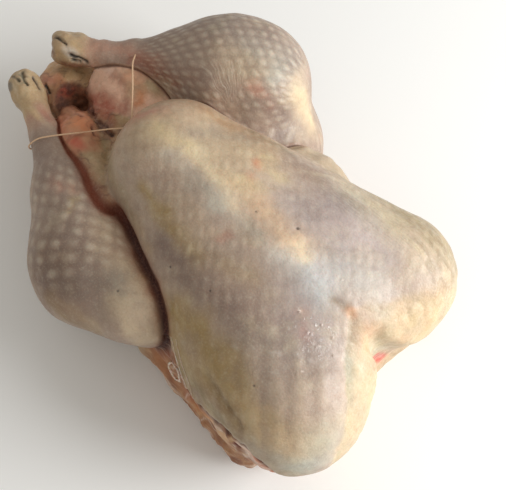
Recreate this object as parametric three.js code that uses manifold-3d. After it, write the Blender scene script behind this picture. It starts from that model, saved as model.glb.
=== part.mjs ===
// A whole raw turkey, plucked and dressed: it lies on its back with the breast up (+Z), the neck opening towards +X
// and the tail and the two cut ankles towards -X. The wings are cut off. A string ties the two shanks together under
// the tip of the breast. Millimetres. The flat underside is on z = 0.
import * as THREE from "three";
import Module from "manifold-3d";

// ---- Driving dimensions ------------------------------------------------------------------------------------------
// A limb is a round, tapered body along a line, with its radii given by share of the way along.
const BREAST = {
  near: { from: [-82, -14, 97], to: [110, -60, 74], radii: [[0, 37], [0.3, 47], [0.6, 57], [0.85, 61], [1, 59]] },
  far: { from: [-86, 20, 98], to: [97, 59, 77], radii: [[0, 38], [0.3, 44], [0.6, 46], [0.85, 50.5], [1, 54.5]] },
  lobeBlend: 50,
  keel: { from: [-90, 4, 99], to: [82, 5, 104], radii: [[0, 32], [0.5, 36], [1, 34]] },
  keelBlend: 26,
  crown: { at: [58, -2, 76], radii: [88, 92, 60] },
  crownBlend: 24,
  flank: { at: [40, -10, 50], half: [92, 98, 34], round: 32, turn: [0, 0, -4] },
  flankBlend: 20,
};
const RUMP = { at: [-60, 0, 45], radii: [110, 76, 50], blend: 20 };
// The V between the two lobes, where the neck was taken off.
const NECK_NOTCH = { from: [177, 16, 4], to: [131, 3, 112], radii: [[0, 32], [0.5, 23], [0.8, 9], [1, 3]], blend: 16 };
// The back, with the strip of cut flesh that stands out below the skin on both sides, where the wings were.
const BACK = {
  slab: { at: [56, -2, 26], half: [86, 98, 30], round: 24 },
  nearStrip: { from: [-8, -88, 20], to: [100, -94, 22], radii: [[0, 22], [1, 25.5]] },
  farStrip: { from: [-6, 78, 20], to: [112, 82, 22], radii: [[0, 22], [1, 24]] },
  stripBlend: 10,
  neckHollow: { from: [188, 22, 0], to: [166, 20, 60], radii: [[0, 44], [1, 40]] },
  neckHollowBlend: 12,
  breastBlend: 5,
  // A bulge of skin between the far thigh and the breast.
  farLump: { from: [-20, 91, 78], to: [6, 95, 74], radii: [[0, 10], [0.6, 14], [1, 11]] },
  farLumpBlend: 14,
};
const NEAR_LEG = {
  shank: {
    from: [-239, -26, 76.5], to: [-128, -72, 70],
    radii: [[0, 14], [0.07, 15], [0.2, 12], [0.42, 13.5], [0.62, 18], [0.85, 26], [1, 30]],
  },
  calf: { from: [-136, -69, 70], to: [-72, -98, 60], radii: [[0, 26.5], [0.35, 36], [0.7, 42.5], [1, 43.5]] },
  // The knee is full and hangs over the cut flesh in front of it; a plane rounds off its outer side.
  knee: { from: [-86, -93, 61], to: [-20, -94, 66], radii: [[0, 45], [1, 42]] },
  kneeSide: { at: [-9, -114.5, 60], out: [0.516, -0.756, -0.401], round: 16 },
  thigh: { at: [-60, -72, 43], radii: [56, 47, 42] },
};
const FAR_LEG = {
  shank: {
    from: [-240, 20, 85], to: [-97.5, 109, 88],
    radii: [[0, 14], [0.06, 15], [0.14, 12.6], [0.28, 12.2], [0.4, 14.5], [0.55, 23.5], [0.7, 38.5], [1, 47.5]],
  },
  calf: { from: [-190, 60, 85], to: [-118, 109, 87], radii: [[0, 10], [0.35, 26], [0.7, 40], [1, 44]] },
  thigh: { at: [-74, 77, 48], radii: [64, 67, 48] },
};
const CALF_BLEND = 24, THIGH_BLEND = 18, LEG_BLEND = 12;
// How far past the last point of its line a cut ankle ends, and the rounding of that end.
const ANKLE_END = 12, ANKLE_ROUND = 7;
const VENT = {
  belly: { at: [-130, 0, 43], radii: [80, 60, 41] },
  tail: { at: [-219, 6, 51], radii: [35, 36, 19], turn: [0, 7, 0] },
  tailBlend: 16,
  hollow: { from: [-211, -8, 94], to: [-198, -5, 60], radii: [[0, 20], [0.6, 16], [1, 10]] },
  hollowBlend: 5,
  flap: { at: [-166, 27, 77], radii: [43, 32, 12], turn: [24, 0, 6] },
  flapBlend: 7,
  // Soft flesh between the near shank and the tip of the breast, and the lump of fat on it.
  groin: { from: [-168, -32, 72], to: [-98, -56, 88], radii: [[0, 14], [0.5, 17], [1, 14]] },
  fat: { from: [-188, -19, 66], to: [-146, -38, 78], radii: [[0, 15], [0.5, 18], [1, 16]] },
  fatBlend: 6,
  bodyBlend: 5,
};
// The string is one closed loop. Each station is a point that it passes, and x is kept: it doesn't slip along the legs.
const STRING = {
  radius: 0.9, clearance: 0.9, sides: 8, segments: 88,
  stations: [
    [-145, -10, 96], [-160, -30, 98], [-174, -48, 96], [-184, -60, 86], [-192, -72, 66], [-194, -60, 40],
    [-196, -30, 18], [-198, 4, 14], [-196, 44, 30], [-194, 76, 58], [-196, 84, 84], [-190, 68, 108],
    [-178, 48, 106], [-160, 32, 102], [-147, 21, 96], [-133, 6, 93],
  ],
  steps: 500, grip: 0.5, pull: 0.45,
};
const BIRD_COLOUR = "#b7a594", STRING_COLOUR = "#c4a27c";
// Grid that the skin is laid over: finer at the legs' thin ends and the vent than on the broad breast.
const GRID = {
  low: [-262, -158, -15], high: [182, 178, 164],
  fineUpTo: -112, fineStep: 6.3, broadStep: 9.9, acrossStep: 7.7, upStep: 7.7,
};
// Folds are evened out fully up to half their width and not at all from one and a half times it.
const FOLD = { width: 12, rounds: 5 };
// A vertex is drawn onto the surface in a few steps along the field's gradient, none of them long.
const DRAW = { steps: 3, longest: 2, leastSlope: 0.05, probe: 0.5 };
const TOUCH = 1e-3, SLIVER = 0.4;
// The block of space above the floor.
const ABOVE = { side: 800, height: 400 };

// ---- Fields: negative inside, positive outside --------------------------------------------------------------------
const join = (a, b, k) => { const h = Math.max(k - Math.abs(a - b), 0) / k; return Math.min(a, b) - h * h * k / 4; };
const cut = (a, b, k) => -join(-a, b, k);

function turned([ax, ay, az] = [0, 0, 0]) {
  return new THREE.Matrix4().makeRotationFromEuler(new THREE.Euler(
    ax * Math.PI / 180, ay * Math.PI / 180, az * Math.PI / 180, "ZYX")).transpose();
}

function ellipsoid({ at, radii, turn }) {
  const m = turned(turn), q = new THREE.Vector3();
  return (x, y, z) => {
    q.set(x - at[0], y - at[1], z - at[2]).applyMatrix4(m);
    const a = Math.hypot(q.x / radii[0], q.y / radii[1], q.z / radii[2]);
    const b = Math.hypot(q.x / radii[0] ** 2, q.y / radii[1] ** 2, q.z / radii[2] ** 2);
    return b > 0 ? a * (a - 1) / b : -Math.min(...radii);
  };
}

function roundedBox({ at, half, round, turn }) {
  const m = turned(turn), q = new THREE.Vector3();
  return (x, y, z) => {
    q.set(x - at[0], y - at[1], z - at[2]).applyMatrix4(m);
    const u = [Math.abs(q.x) - half[0] + round, Math.abs(q.y) - half[1] + round, Math.abs(q.z) - half[2] + round];
    return Math.hypot(...u.map((v) => Math.max(v, 0))) + Math.min(Math.max(...u), 0) - round;
  };
}

// Smooth curve through (share, radius) pairs that never overshoots them.
function smoothRadii(pairs) {
  const slope = pairs.slice(1).map((p, i) => (p[1] - pairs[i][1]) / (p[0] - pairs[i][0]));
  const tangent = pairs.map((p, i) => {
    const a = slope[i - 1], b = slope[i];
    return a === undefined || b === undefined || a * b <= 0 ? 0 : 2 * a * b / (a + b);
  });
  return (t) => {
    let i = 0;
    while (i < slope.length - 1 && t > pairs[i + 1][0]) i++;
    const h = pairs[i + 1][0] - pairs[i][0], u = (t - pairs[i][0]) / h;
    return (2 * u ** 3 - 3 * u ** 2 + 1) * pairs[i][1] + (u ** 3 - 2 * u ** 2 + u) * h * tangent[i]
      + (3 * u ** 2 - 2 * u ** 3) * pairs[i + 1][1] + (u ** 3 - u ** 2) * h * tangent[i + 1];
  };
}

function limb({ from, to, radii }) {
  const d = to.map((v, i) => v - from[i]), dd = d[0] ** 2 + d[1] ** 2 + d[2] ** 2, radius = smoothRadii(radii);
  return (x, y, z) => {
    const u = x - from[0], v = y - from[1], w = z - from[2];
    const t = Math.min(Math.max((u * d[0] + v * d[1] + w * d[2]) / dd, 0), 1);
    return Math.hypot(u - t * d[0], v - t * d[1], w - t * d[2]) - radius(t);
  };
}

// The plane across the end of a shank, positive beyond it.
function endPlane({ from, to }, reach) {
  const n = new THREE.Vector3(...from).sub(new THREE.Vector3(...to)).normalize();
  return (x, y, z) => (x - from[0]) * n.x + (y - from[1]) * n.y + (z - from[2]) * n.z - reach;
}

const near = limb(BREAST.near), far = limb(BREAST.far), keel = limb(BREAST.keel);
const crown = ellipsoid(BREAST.crown), flank = roundedBox(BREAST.flank), rump = ellipsoid(RUMP);
const neckNotch = limb(NECK_NOTCH), slab = roundedBox(BACK.slab);
const nearStrip = limb(BACK.nearStrip), farStrip = limb(BACK.farStrip), neckHollow = limb(BACK.neckHollow);
const farLump = limb(BACK.farLump);
function torso(x, y, z) {
  let f = join(near(x, y, z), far(x, y, z), BREAST.lobeBlend);
  f = join(f, keel(x, y, z), BREAST.keelBlend);
  f = join(f, crown(x, y, z), BREAST.crownBlend);
  f = join(f, flank(x, y, z), BREAST.flankBlend);
  f = join(f, rump(x, y, z), RUMP.blend);
  f = cut(f, neckNotch(x, y, z), NECK_NOTCH.blend);
  let back = join(slab(x, y, z), nearStrip(x, y, z), BACK.stripBlend);
  back = join(back, farStrip(x, y, z), BACK.stripBlend);
  back = cut(back, neckHollow(x, y, z), BACK.neckHollowBlend);
  return join(join(f, back, BACK.breastBlend), farLump(x, y, z), BACK.farLumpBlend);
}

const nearShank = limb(NEAR_LEG.shank), nearCalf = limb(NEAR_LEG.calf), nearThigh = ellipsoid(NEAR_LEG.thigh);
const nearKnee = limb(NEAR_LEG.knee);
const farShank = limb(FAR_LEG.shank), farCalf = limb(FAR_LEG.calf), farThigh = ellipsoid(FAR_LEG.thigh);
const nearEnd = endPlane(NEAR_LEG.shank, ANKLE_END), farEnd = endPlane(FAR_LEG.shank, ANKLE_END);
// How far a point is inside the plane that bounds the knee's outer side.
function insideKnee(x, y, z) {
  const { at, out } = NEAR_LEG.kneeSide;
  return (at[0] - x) * out[0] + (at[1] - y) * out[1] + (at[2] - z) * out[2];
}
function nearLeg(x, y, z) {
  let f = join(nearShank(x, y, z), join(nearThigh(x, y, z), nearCalf(x, y, z), CALF_BLEND), THIGH_BLEND);
  f = cut(join(f, nearKnee(x, y, z), THIGH_BLEND), insideKnee(x, y, z), NEAR_LEG.kneeSide.round);
  return cut(f, -nearEnd(x, y, z), ANKLE_ROUND);
}
function farLeg(x, y, z) {
  const f = join(farShank(x, y, z), join(farThigh(x, y, z), farCalf(x, y, z), CALF_BLEND), THIGH_BLEND);
  return cut(f, -farEnd(x, y, z), ANKLE_ROUND);
}

const belly = ellipsoid(VENT.belly), tail = ellipsoid(VENT.tail), hollow = limb(VENT.hollow);
const flap = ellipsoid(VENT.flap), fat = limb(VENT.fat), groin = limb(VENT.groin);
function vent(x, y, z) {
  let f = join(belly(x, y, z), tail(x, y, z), VENT.tailBlend);
  f = cut(f, hollow(x, y, z), VENT.hollowBlend);
  f = join(join(f, groin(x, y, z), VENT.tailBlend), flap(x, y, z), VENT.flapBlend);
  return join(f, fat(x, y, z), VENT.fatBlend);
}

function bird(x, y, z) {
  const body = join(torso(x, y, z), vent(x, y, z), VENT.bodyBlend);
  return join(join(body, nearLeg(x, y, z), LEG_BLEND), farLeg(x, y, z), LEG_BLEND);
}
// How far a point is from the fold between two of the bodies: 0 in the fold.
function fromFold(x, y, z) {
  const d = [torso(x, y, z), vent(x, y, z), nearLeg(x, y, z), farLeg(x, y, z)].sort((a, b) => a - b);
  return d[1] - d[0];
}

function gradient(f, p) {
  const e = DRAW.probe;
  return [
    (f(p[0] + e, p[1], p[2]) - f(p[0] - e, p[1], p[2])) / (2 * e),
    (f(p[0], p[1] + e, p[2]) - f(p[0], p[1] - e, p[2])) / (2 * e),
    (f(p[0], p[1], p[2] + e) - f(p[0], p[1], p[2] - e)) / (2 * e),
  ];
}

// ---- Skin over a field --------------------------------------------------------------------------------------------
function gridLines(low, high, step, fineUpTo = low, fineStep = step) {
  const lines = [low];
  while (lines.at(-1) < high) lines.push(lines.at(-1) + (lines.at(-1) < fineUpTo ? fineStep : step));
  return lines;
}

// Two inside corners that face each other over a grid square, with air at the other two, would meet in a single edge
// or point. There the corner of air nearer to the surface is counted as inside, so that the flesh joins.
function closeCornerTouches(value, size, at) {
  for (let found = true; found;) {
    found = false;
    for (let axis = 0; axis < 3; axis++) {
      const u = (axis + 1) % 3, v = (axis + 2) % 3, c = [0, 0, 0];
      for (c[0] = 0; c[0] < size[0]; c[0]++) for (c[1] = 0; c[1] < size[1]; c[1]++) for (c[2] = 0; c[2] < size[2]; c[2]++) {
        if (c[u] + 1 >= size[u] || c[v] + 1 >= size[v]) continue;
        const square = [[0, 0], [1, 0], [1, 1], [0, 1]].map(([du, dv]) => {
          const d = [...c];
          d[u] += du;
          d[v] += dv;
          return at(...d);
        });
        const inside = square.map((n) => value[n] < 0);
        if (inside[0] !== inside[2] || inside[1] !== inside[3] || inside[0] === inside[1]) continue;
        const air = square.filter((n, i) => !inside[i]).sort((a, b) => value[a] - value[b]);
        value[air[0]] = -value[air[0]] - TOUCH;
        found = true;
      }
    }
  }
}

// One vertex for each cell that the surface crosses, at the mean of its edge crossings, and one quad for each
// crossed grid edge. Each vertex is then drawn onto the surface.
function skin(f) {
  const X = gridLines(GRID.low[0], GRID.high[0], GRID.broadStep, GRID.fineUpTo, GRID.fineStep);
  const Y = gridLines(GRID.low[1], GRID.high[1], GRID.acrossStep);
  const Z = gridLines(GRID.low[2], GRID.high[2], GRID.upStep);
  const size = [X.length, Y.length, Z.length], lines = [X, Y, Z];
  const at = (i, j, k) => (i * size[1] + j) * size[2] + k;
  const value = new Float64Array(size[0] * size[1] * size[2]);
  for (let i = 0; i < size[0]; i++) for (let j = 0; j < size[1]; j++) for (let k = 0; k < size[2]; k++)
    value[at(i, j, k)] = f(X[i], Y[j], Z[k]);
  closeCornerTouches(value, size, at);
  const vertexOf = new Int32Array(value.length).fill(-1), points = [], triangles = [];
  for (let i = 0; i < size[0] - 1; i++) for (let j = 0; j < size[1] - 1; j++) for (let k = 0; k < size[2] - 1; k++) {
    const sum = [0, 0, 0];
    let count = 0;
    for (let axis = 0; axis < 3; axis++) for (let n = 0; n < 4; n++) {
      const a = [i, j, k];
      a[(axis + 1) % 3] += n & 1;
      a[(axis + 2) % 3] += n >> 1;
      const b = [...a];
      b[axis]++;
      const va = value[at(...a)], vb = value[at(...b)];
      if (va < 0 === vb < 0) continue;
      const t = va / (va - vb);
      for (let c = 0; c < 3; c++) sum[c] += lines[c][a[c]] * (1 - t) + lines[c][b[c]] * t;
      count++;
    }
    if (!count) continue;
    vertexOf[at(i, j, k)] = points.length;
    points.push(onto(f, sum.map((s) => s / count)));
  }
  for (let i = 1; i < size[0] - 1; i++) for (let j = 1; j < size[1] - 1; j++) for (let k = 1; k < size[2] - 1; k++)
    for (let axis = 0; axis < 3; axis++) {
      const a = [i, j, k], b = [i, j, k];
      b[axis]++;
      const inside = value[at(...a)] < 0;
      if (inside === value[at(...b)] < 0) continue;
      const corner = (du, dv) => {
        const c = [...a];
        c[(axis + 1) % 3] += du;
        c[(axis + 2) % 3] += dv;
        return vertexOf[at(...c)];
      };
      const quad = [corner(-1, -1), corner(0, -1), corner(0, 0), corner(-1, 0)];
      if (!inside) quad.reverse();
      const apart = (m, n) => Math.hypot(...points[quad[m]].map((v, c) => v - points[quad[n]][c]));
      const order = apart(0, 2) < apart(1, 3) ? [0, 1, 2, 0, 2, 3] : [1, 2, 3, 1, 3, 0];
      triangles.push(...order.map((n) => quad[n]));
    }
  return { points: eased(points, triangles), triangles };
}

// Evens out the folds, which are narrower than a cell: there each vertex moves to the middle of its neighbours.
function eased(points, triangles) {
  const around = points.map(() => new Set());
  for (let i = 0; i < triangles.length; i += 3)
    for (let c = 0; c < 3; c++) {
      around[triangles[i + c]].add(triangles[i + (c + 1) % 3]);
      around[triangles[i + (c + 1) % 3]].add(triangles[i + c]);
    }
  const weight = points.map((p) => Math.min(Math.max(1.5 - fromFold(...p) / FOLD.width, 0), 1));
  for (let round = 0; round < FOLD.rounds; round++)
    points = points.map((p, i) => p.map((v, c) => {
      let sum = 0;
      for (const k of around[i]) sum += points[k][c];
      return v + (sum / around[i].size - v) * weight[i];
    }));
  return points;
}

function onto(f, p) {
  for (let n = 0; n < DRAW.steps; n++) {
    const g = gradient(f, p), gg = g[0] ** 2 + g[1] ** 2 + g[2] ** 2, step = f(...p) / Math.max(gg, DRAW.leastSlope);
    const share = DRAW.longest / Math.max(Math.abs(step) * Math.sqrt(gg), DRAW.longest);
    p = p.map((v, c) => v - g[c] * step * share);
  }
  return p;
}

// ---- The string ---------------------------------------------------------------------------------------------------
// Pulled tight: each point moves to the middle of its neighbours in y and z, and out of the flesh where it touches.
function tautLoop() {
  const curve = new THREE.CatmullRomCurve3(STRING.stations.map((s) => new THREE.Vector3(...s)), true, "centripetal");
  const loop = curve.getSpacedPoints(STRING.segments).slice(0, -1), gap = STRING.radius + STRING.clearance;
  const n = loop.length, station = loop.map((p) => p.x);
  for (let step = 0; step < STRING.steps; step++) {
    for (let i = 0; i < n; i++) {
      const p = loop[i], a = loop[(i + n - 1) % n], b = loop[(i + 1) % n];
      p.y += (a.y + b.y - 2 * p.y) * STRING.pull;
      p.z += (a.z + b.z - 2 * p.z) * STRING.pull;
      p.x += (station[i] - p.x) * STRING.grip;
      const f = bird(p.x, p.y, p.z);
      if (f >= gap) continue;
      const g = gradient(bird, [p.x, p.y, p.z]), gg = g[0] ** 2 + g[1] ** 2 + g[2] ** 2;
      const push = Math.min((gap - f) / Math.max(gg, DRAW.leastSlope), DRAW.longest);
      p.set(p.x + g[0] * push, p.y + g[1] * push, p.z + g[2] * push);
    }
  }
  return new THREE.CatmullRomCurve3(loop, true, "centripetal");
}

// ---- Meshes -------------------------------------------------------------------------------------------------------
const { Manifold, Mesh } = await (async () => { const m = await Module(); m.setup(); return m; })();

function solidOf(points, triangles) {
  return new Manifold(new Mesh({
    numProp: 3, vertProperties: new Float32Array(points.flat()), triVerts: new Uint32Array(triangles),
  }));
}

function named(name, solid, colour, roughness) {
  const mesh = solid.getMesh(), geometry = new THREE.BufferGeometry(), xyz = new Float32Array(mesh.numVert * 3);
  for (let i = 0; i < mesh.numVert; i++)
    for (let c = 0; c < 3; c++) xyz[3 * i + c] = mesh.vertProperties[mesh.numProp * i + c];
  geometry.setAttribute("position", new THREE.BufferAttribute(xyz, 3));
  geometry.setIndex(new THREE.BufferAttribute(new Uint32Array(mesh.triVerts), 1));
  geometry.computeVertexNormals();
  const out = new THREE.Mesh(geometry, new THREE.MeshStandardMaterial({ color: colour, roughness, metalness: 0 }));
  out.name = name;
  return out;
}

function birdSolid() {
  const { points, triangles } = skin(bird), above = new THREE.BoxGeometry(ABOVE.side, ABOVE.side, ABOVE.height);
  above.translate(0, 0, ABOVE.height / 2);
  const corners = [], index = new Map(), box = above.toNonIndexed().getAttribute("position"), faces = [];
  for (let i = 0; i < box.count; i++) {
    const p = [box.getX(i), box.getY(i), box.getZ(i)], key = p.join();
    if (!index.has(key)) { index.set(key, corners.length); corners.push(p); }
    faces.push(index.get(key));
  }
  // No corner lies so near the floor that the cut would leave slivers.
  for (const p of points) if (Math.abs(p[2]) < SLIVER) p[2] = p[2] < 0 ? -SLIVER : SLIVER;
  return solidOf(points, triangles).intersect(solidOf(corners, faces));
}

function stringSolid() {
  const path = tautLoop(), frames = path.computeFrenetFrames(STRING.segments, true), points = [], triangles = [];
  for (let i = 0; i < STRING.segments; i++) {
    const c = path.getPointAt(i / STRING.segments);
    for (let j = 0; j < STRING.sides; j++) {
      const a = 2 * Math.PI * j / STRING.sides;
      const p = c.clone().addScaledVector(frames.normals[i], STRING.radius * Math.cos(a))
        .addScaledVector(frames.binormals[i], STRING.radius * Math.sin(a));
      points.push(p.toArray());
      const k = (j + 1) % STRING.sides, m = (i + 1) % STRING.segments;
      const q = [i * STRING.sides + j, m * STRING.sides + j, m * STRING.sides + k, i * STRING.sides + k];
      triangles.push(q[0], q[2], q[1], q[0], q[3], q[2]);
    }
  }
  return solidOf(points, triangles);
}

const turkey = new THREE.Group();
turkey.name = "turkey";
turkey.add(named("bird", birdSolid(), BIRD_COLOUR, 0.5));
turkey.add(named("string", stringSolid(), STRING_COLOUR, 0.85));
export default turkey;
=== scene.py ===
"""A whole raw turkey on its back, wings cut off, its shanks tied with kitchen string.

The bird's form is a field of named bodies, joined and cut, which is laid over with a fine skin. Relief,
colour and wetness are then worked out for each point of the skin from named places. Lengths are millimetres,
turned into metres last.
"""

import itertools
import math

import bmesh
import bpy
import numpy as np
from mathutils import Matrix, Vector


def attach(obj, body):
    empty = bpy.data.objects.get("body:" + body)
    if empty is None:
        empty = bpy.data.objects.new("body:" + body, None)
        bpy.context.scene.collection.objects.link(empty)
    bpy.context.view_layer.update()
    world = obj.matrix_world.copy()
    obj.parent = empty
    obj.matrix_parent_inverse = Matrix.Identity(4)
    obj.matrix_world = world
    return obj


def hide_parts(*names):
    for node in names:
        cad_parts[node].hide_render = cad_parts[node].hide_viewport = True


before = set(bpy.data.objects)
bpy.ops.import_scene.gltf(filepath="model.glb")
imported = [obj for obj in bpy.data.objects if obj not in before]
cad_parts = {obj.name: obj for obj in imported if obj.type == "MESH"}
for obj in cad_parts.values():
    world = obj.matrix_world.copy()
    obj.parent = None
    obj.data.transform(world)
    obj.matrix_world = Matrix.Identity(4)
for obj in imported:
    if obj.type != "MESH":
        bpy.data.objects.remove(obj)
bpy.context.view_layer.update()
MM = 0.001

# ---- Sizes: the same bodies as the solid's ----
# A limb is a line from end to end with its radii by share of the way. A box has its middle, half sizes and
# rounding.
BREAST_NEAR = ((-82, -14, 97), (110, -60, 74), ((0, 37), (0.3, 47), (0.6, 57), (0.85, 61), (1, 59)))
BREAST_FAR = ((-86, 20, 98), (97, 59, 77), ((0, 38), (0.3, 44), (0.6, 46), (0.85, 50.5), (1, 54.5)))
KEEL = ((-90, 4, 99), (82, 5, 104), ((0, 32), (0.5, 36), (1, 34)))
CROWN = ((58, -2, 76), (88, 92, 60))
FLANK = ((40, -10, 50), (92, 98, 34), 32, (0, 0, -4))
RUMP = ((-60, 0, 45), (110, 76, 50))
LOBE_BLEND, KEEL_BLEND, CROWN_BLEND, FLANK_BLEND, RUMP_BLEND = 50, 26, 24, 20, 20
NECK_NOTCH = ((177, 16, 4), (131, 3, 112), ((0, 32), (0.5, 23), (0.8, 9), (1, 3)))
NECK_NOTCH_BLEND = 16
BACK_SLAB = ((56, -2, 26), (86, 98, 30), 24)
NEAR_STRIP = ((-8, -88, 20), (100, -94, 22), ((0, 22), (1, 25.5)))
FAR_STRIP = ((-6, 78, 20), (112, 82, 22), ((0, 22), (1, 24)))
NECK_HOLLOW = ((188, 22, 0), (166, 20, 60), ((0, 44), (1, 40)))
STRIP_BLEND, NECK_HOLLOW_BLEND, BACK_BLEND = 10, 12, 5
NEAR_SHANK = ((-239, -26, 76.5), (-128, -72, 70),
              ((0, 14), (0.07, 15), (0.2, 11.8), (0.42, 13.5), (0.62, 18), (0.85, 26), (1, 30)))
NEAR_CALF = ((-136, -69, 70), (-72, -98, 60), ((0, 26.5), (0.35, 36), (0.7, 42.5), (1, 43.5)))
NEAR_KNEE = ((-86, -93, 61), (-20, -94, 66), ((0, 45), (1, 42)))
KNEE_END, KNEE_ROUND = ((-9, -114.5, 60), (0.516, -0.756, -0.401)), 16
NEAR_THIGH = ((-60, -72, 43), (56, 47, 42))
FAR_SHANK = ((-240, 20, 85), (-97.5, 109, 88),
             ((0, 14), (0.06, 15), (0.14, 12.6), (0.28, 12.2), (0.4, 14.5), (0.55, 23.5), (0.7, 38.5),
              (0.85, 47.5), (1, 47.5)))
FAR_CALF = ((-190, 60, 85), (-118, 109, 87), ((0, 10), (0.35, 26), (0.7, 40), (1, 44)))
FAR_THIGH = ((-74, 77, 48), (64, 67, 48))
CALF_BLEND, THIGH_BLEND = 24, 18
LEG_BLEND = 5.0  # the folds beside the legs are sharper here than in the solid
ANKLE_END, ANKLE_ROUND = 12, 4.5
AXES = {"near": ((-238, -26, 74), (-36, -80, 62)), "far": ((-239, 21, 85), (-96, 108, 87))}
BELLY = ((-130, 0, 43), (80, 60, 41))
TAIL = ((-219, 6, 51), (35, 36, 19), (0, 7, 0))
HOLLOW = ((-211, -8, 94), (-198, -5, 58), ((0, 20), (0.6, 17), (1, 11)))
FLAP = ((-166, 27, 77), (43, 32, 12), (24, 0, 6))
FAT = ((-188, -19, 66), (-146, -38, 78), ((0, 15), (0.5, 18), (1, 16)))
GROIN = ((-168, -32, 72), (-98, -56, 88), ((0, 14), (0.5, 17), (1, 14)))
FAR_LUMP = ((-20, 90, 79), (6, 92, 77), ((0, 8), (0.6, 12), (1, 9)))
FAR_LUMP_BLEND = 28
TAIL_BLEND, HOLLOW_BLEND, FLAP_BLEND, FAT_BLEND, VENT_BLEND = 16, 5, 5, 5, 4

STRING_STATIONS = (
    (-145, -10, 96), (-160, -30, 98), (-174, -48, 96), (-184, -60, 86), (-192, -72, 66), (-194, -60, 40),
    (-196, -30, 18), (-198, 4, 14), (-196, 44, 30), (-194, 76, 58), (-196, 84, 84), (-190, 68, 108),
    (-178, 48, 106), (-160, 32, 102), (-147, 21, 96), (-133, 6, 93))
STRING_RADIUS, STRING_SINK, STRING_GAP = 0.72, 3.4, 1.8
STRING_POINTS, STRING_STEPS, STRING_GRIP, STRING_PULL = 88, 500, 0.5, 0.45
STRING_PLIES, STRING_TURNS, STRING_RINGS, STRING_SIDES = 3, 92, 1500, 15
# Loose sinews on the cut flesh: radius, whether it is a ring, then the line.
SINEWS = (
    (1.0, True, ((24, -106, 62), (28, -108, 70), (35, -109, 72), (38, -110, 62), (36, -111, 46),
                 (30, -110, 38), (25, -108, 46))),
    (0.40, False, ((20, -97, 98), (28, -101, 92), (37, -106, 85), (48, -111, 76), (56, -113, 66))),
    (0.35, False, ((25, -97, 103), (33, -101, 96), (41, -106, 90), (53, -110, 82), (60, -113, 72))))
SINEW_RINGS, SINEW_SIDES = 96, 10

# ---- Camera, light and floor ----
CAMERA_AZIMUTH, CAMERA_HEIGHT, CAMERA_DISTANCE = 45.0, 66.0, 800.0  # degrees, degrees, mm
CAMERA_TARGET = (2.3, 7.3, 71.9)
IMAGE_WIDTH, MM_PER_PIXEL, SENSOR = 507, 0.80, 36.0
KEY_PLACE, KEY_TARGET, KEY_SIZE = (1200, 830, 720), (0, 0, 60), 1100
KEY_WATTS, KEY_COLOUR = 33.0, (0.98, 0.995, 1.0)
SKY_COLOUR, SKY_STRENGTH = (1.0, 0.965, 0.90, 1), 0.50
FLOOR_HALF, FLOOR_CELLS, FLOOR_DROP, FLOOR_COLOUR = 3000, 12, 0.5, (0.93, 0.93, 0.92, 1)

# ---- Skin grid ----
GRID_LOW, GRID_HIGH, GRID_STEP = (-262, -156, -8), (182, 178, 160), 2.9
DRAW_STEPS, DRAW_LONGEST, LEAST_SLOPE, PROBE = 3, 2.0, 0.05, 0.4


# ---- Fields: negative inside ----
def length(v):
    return np.linalg.norm(v, axis=1)


def join(a, b, k):
    h = np.maximum(k - np.abs(a - b), 0) / k
    return np.minimum(a, b) - h * h * k / 4


def cut(a, b, k):
    return -join(-a, b, k)


def turned(angles=(0, 0, 0)):
    x, y, z = (Matrix.Rotation(math.radians(a), 3, n) for a, n in zip(angles, "XYZ"))
    return np.array(z @ y @ x)


def ellipsoid(at, radii, turn=(0, 0, 0)):
    at, radii, m = np.array(at, float), np.array(radii, float), turned(turn)

    def f(p):
        q = (p - at) @ m
        a = length(q / radii)
        return a * (a - 1) / np.maximum(length(q / radii**2), 1e-9)
    return f


def rounded_box(at, half, rounding, turn=(0, 0, 0)):
    at, half, m = np.array(at, float), np.array(half, float), turned(turn)

    def f(p):
        q = np.abs((p - at) @ m) - half + rounding
        return length(np.maximum(q, 0)) + np.minimum(q.max(axis=1), 0) - rounding
    return f


def smooth_radii(pairs):
    """Radius by share of the way, on a smooth line that never swings past the given ones."""
    x, y = (np.array(c, float) for c in zip(*pairs))
    slope, tangent = np.diff(y) / np.diff(x), np.zeros(len(x))
    for i in range(1, len(x) - 1):
        a, b = slope[i - 1], slope[i]
        tangent[i] = 0 if a * b <= 0 else 2 * a * b / (a + b)
    share = np.linspace(0, 1, 257)
    i = np.clip(np.searchsorted(x, share, side="right") - 1, 0, len(slope) - 1)
    h = np.diff(x)[i]
    u = (share - x[i]) / h
    radius = ((2 * u**3 - 3 * u**2 + 1) * y[i] + (u**3 - 2 * u**2 + u) * h * tangent[i]
              + (3 * u**2 - 2 * u**3) * y[i + 1] + (u**3 - u**2) * h * tangent[i + 1])
    return lambda t: np.interp(t, share, radius)


def limb(start, end, radii):
    start, radius = np.array(start, float), smooth_radii(radii)
    d = np.array(end, float) - start
    dd = d @ d

    def f(p):
        q = p - start
        t = np.clip(q @ d / dd, 0, 1)
        return length(q - t[:, None] * d) - radius(t)
    return f


def leg(shank, calf, thigh, knee=None, end=None):
    a, b, c = limb(*shank), ellipsoid(*thigh), limb(*calf)
    d = limb(*knee) if knee else None
    start = np.array(shank[0], float)
    out = start - np.array(shank[1], float)
    out /= np.linalg.norm(out)

    def f(p):
        v = join(a(p), join(b(p), c(p), CALF_BLEND), THIGH_BLEND)
        if knee:
            v = cut(join(v, d(p), THIGH_BLEND), (np.array(end[0]) - p) @ np.array(end[1]), KNEE_ROUND)
        return cut(v, ANKLE_END - (p - start) @ out, ANKLE_ROUND)
    return f


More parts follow.
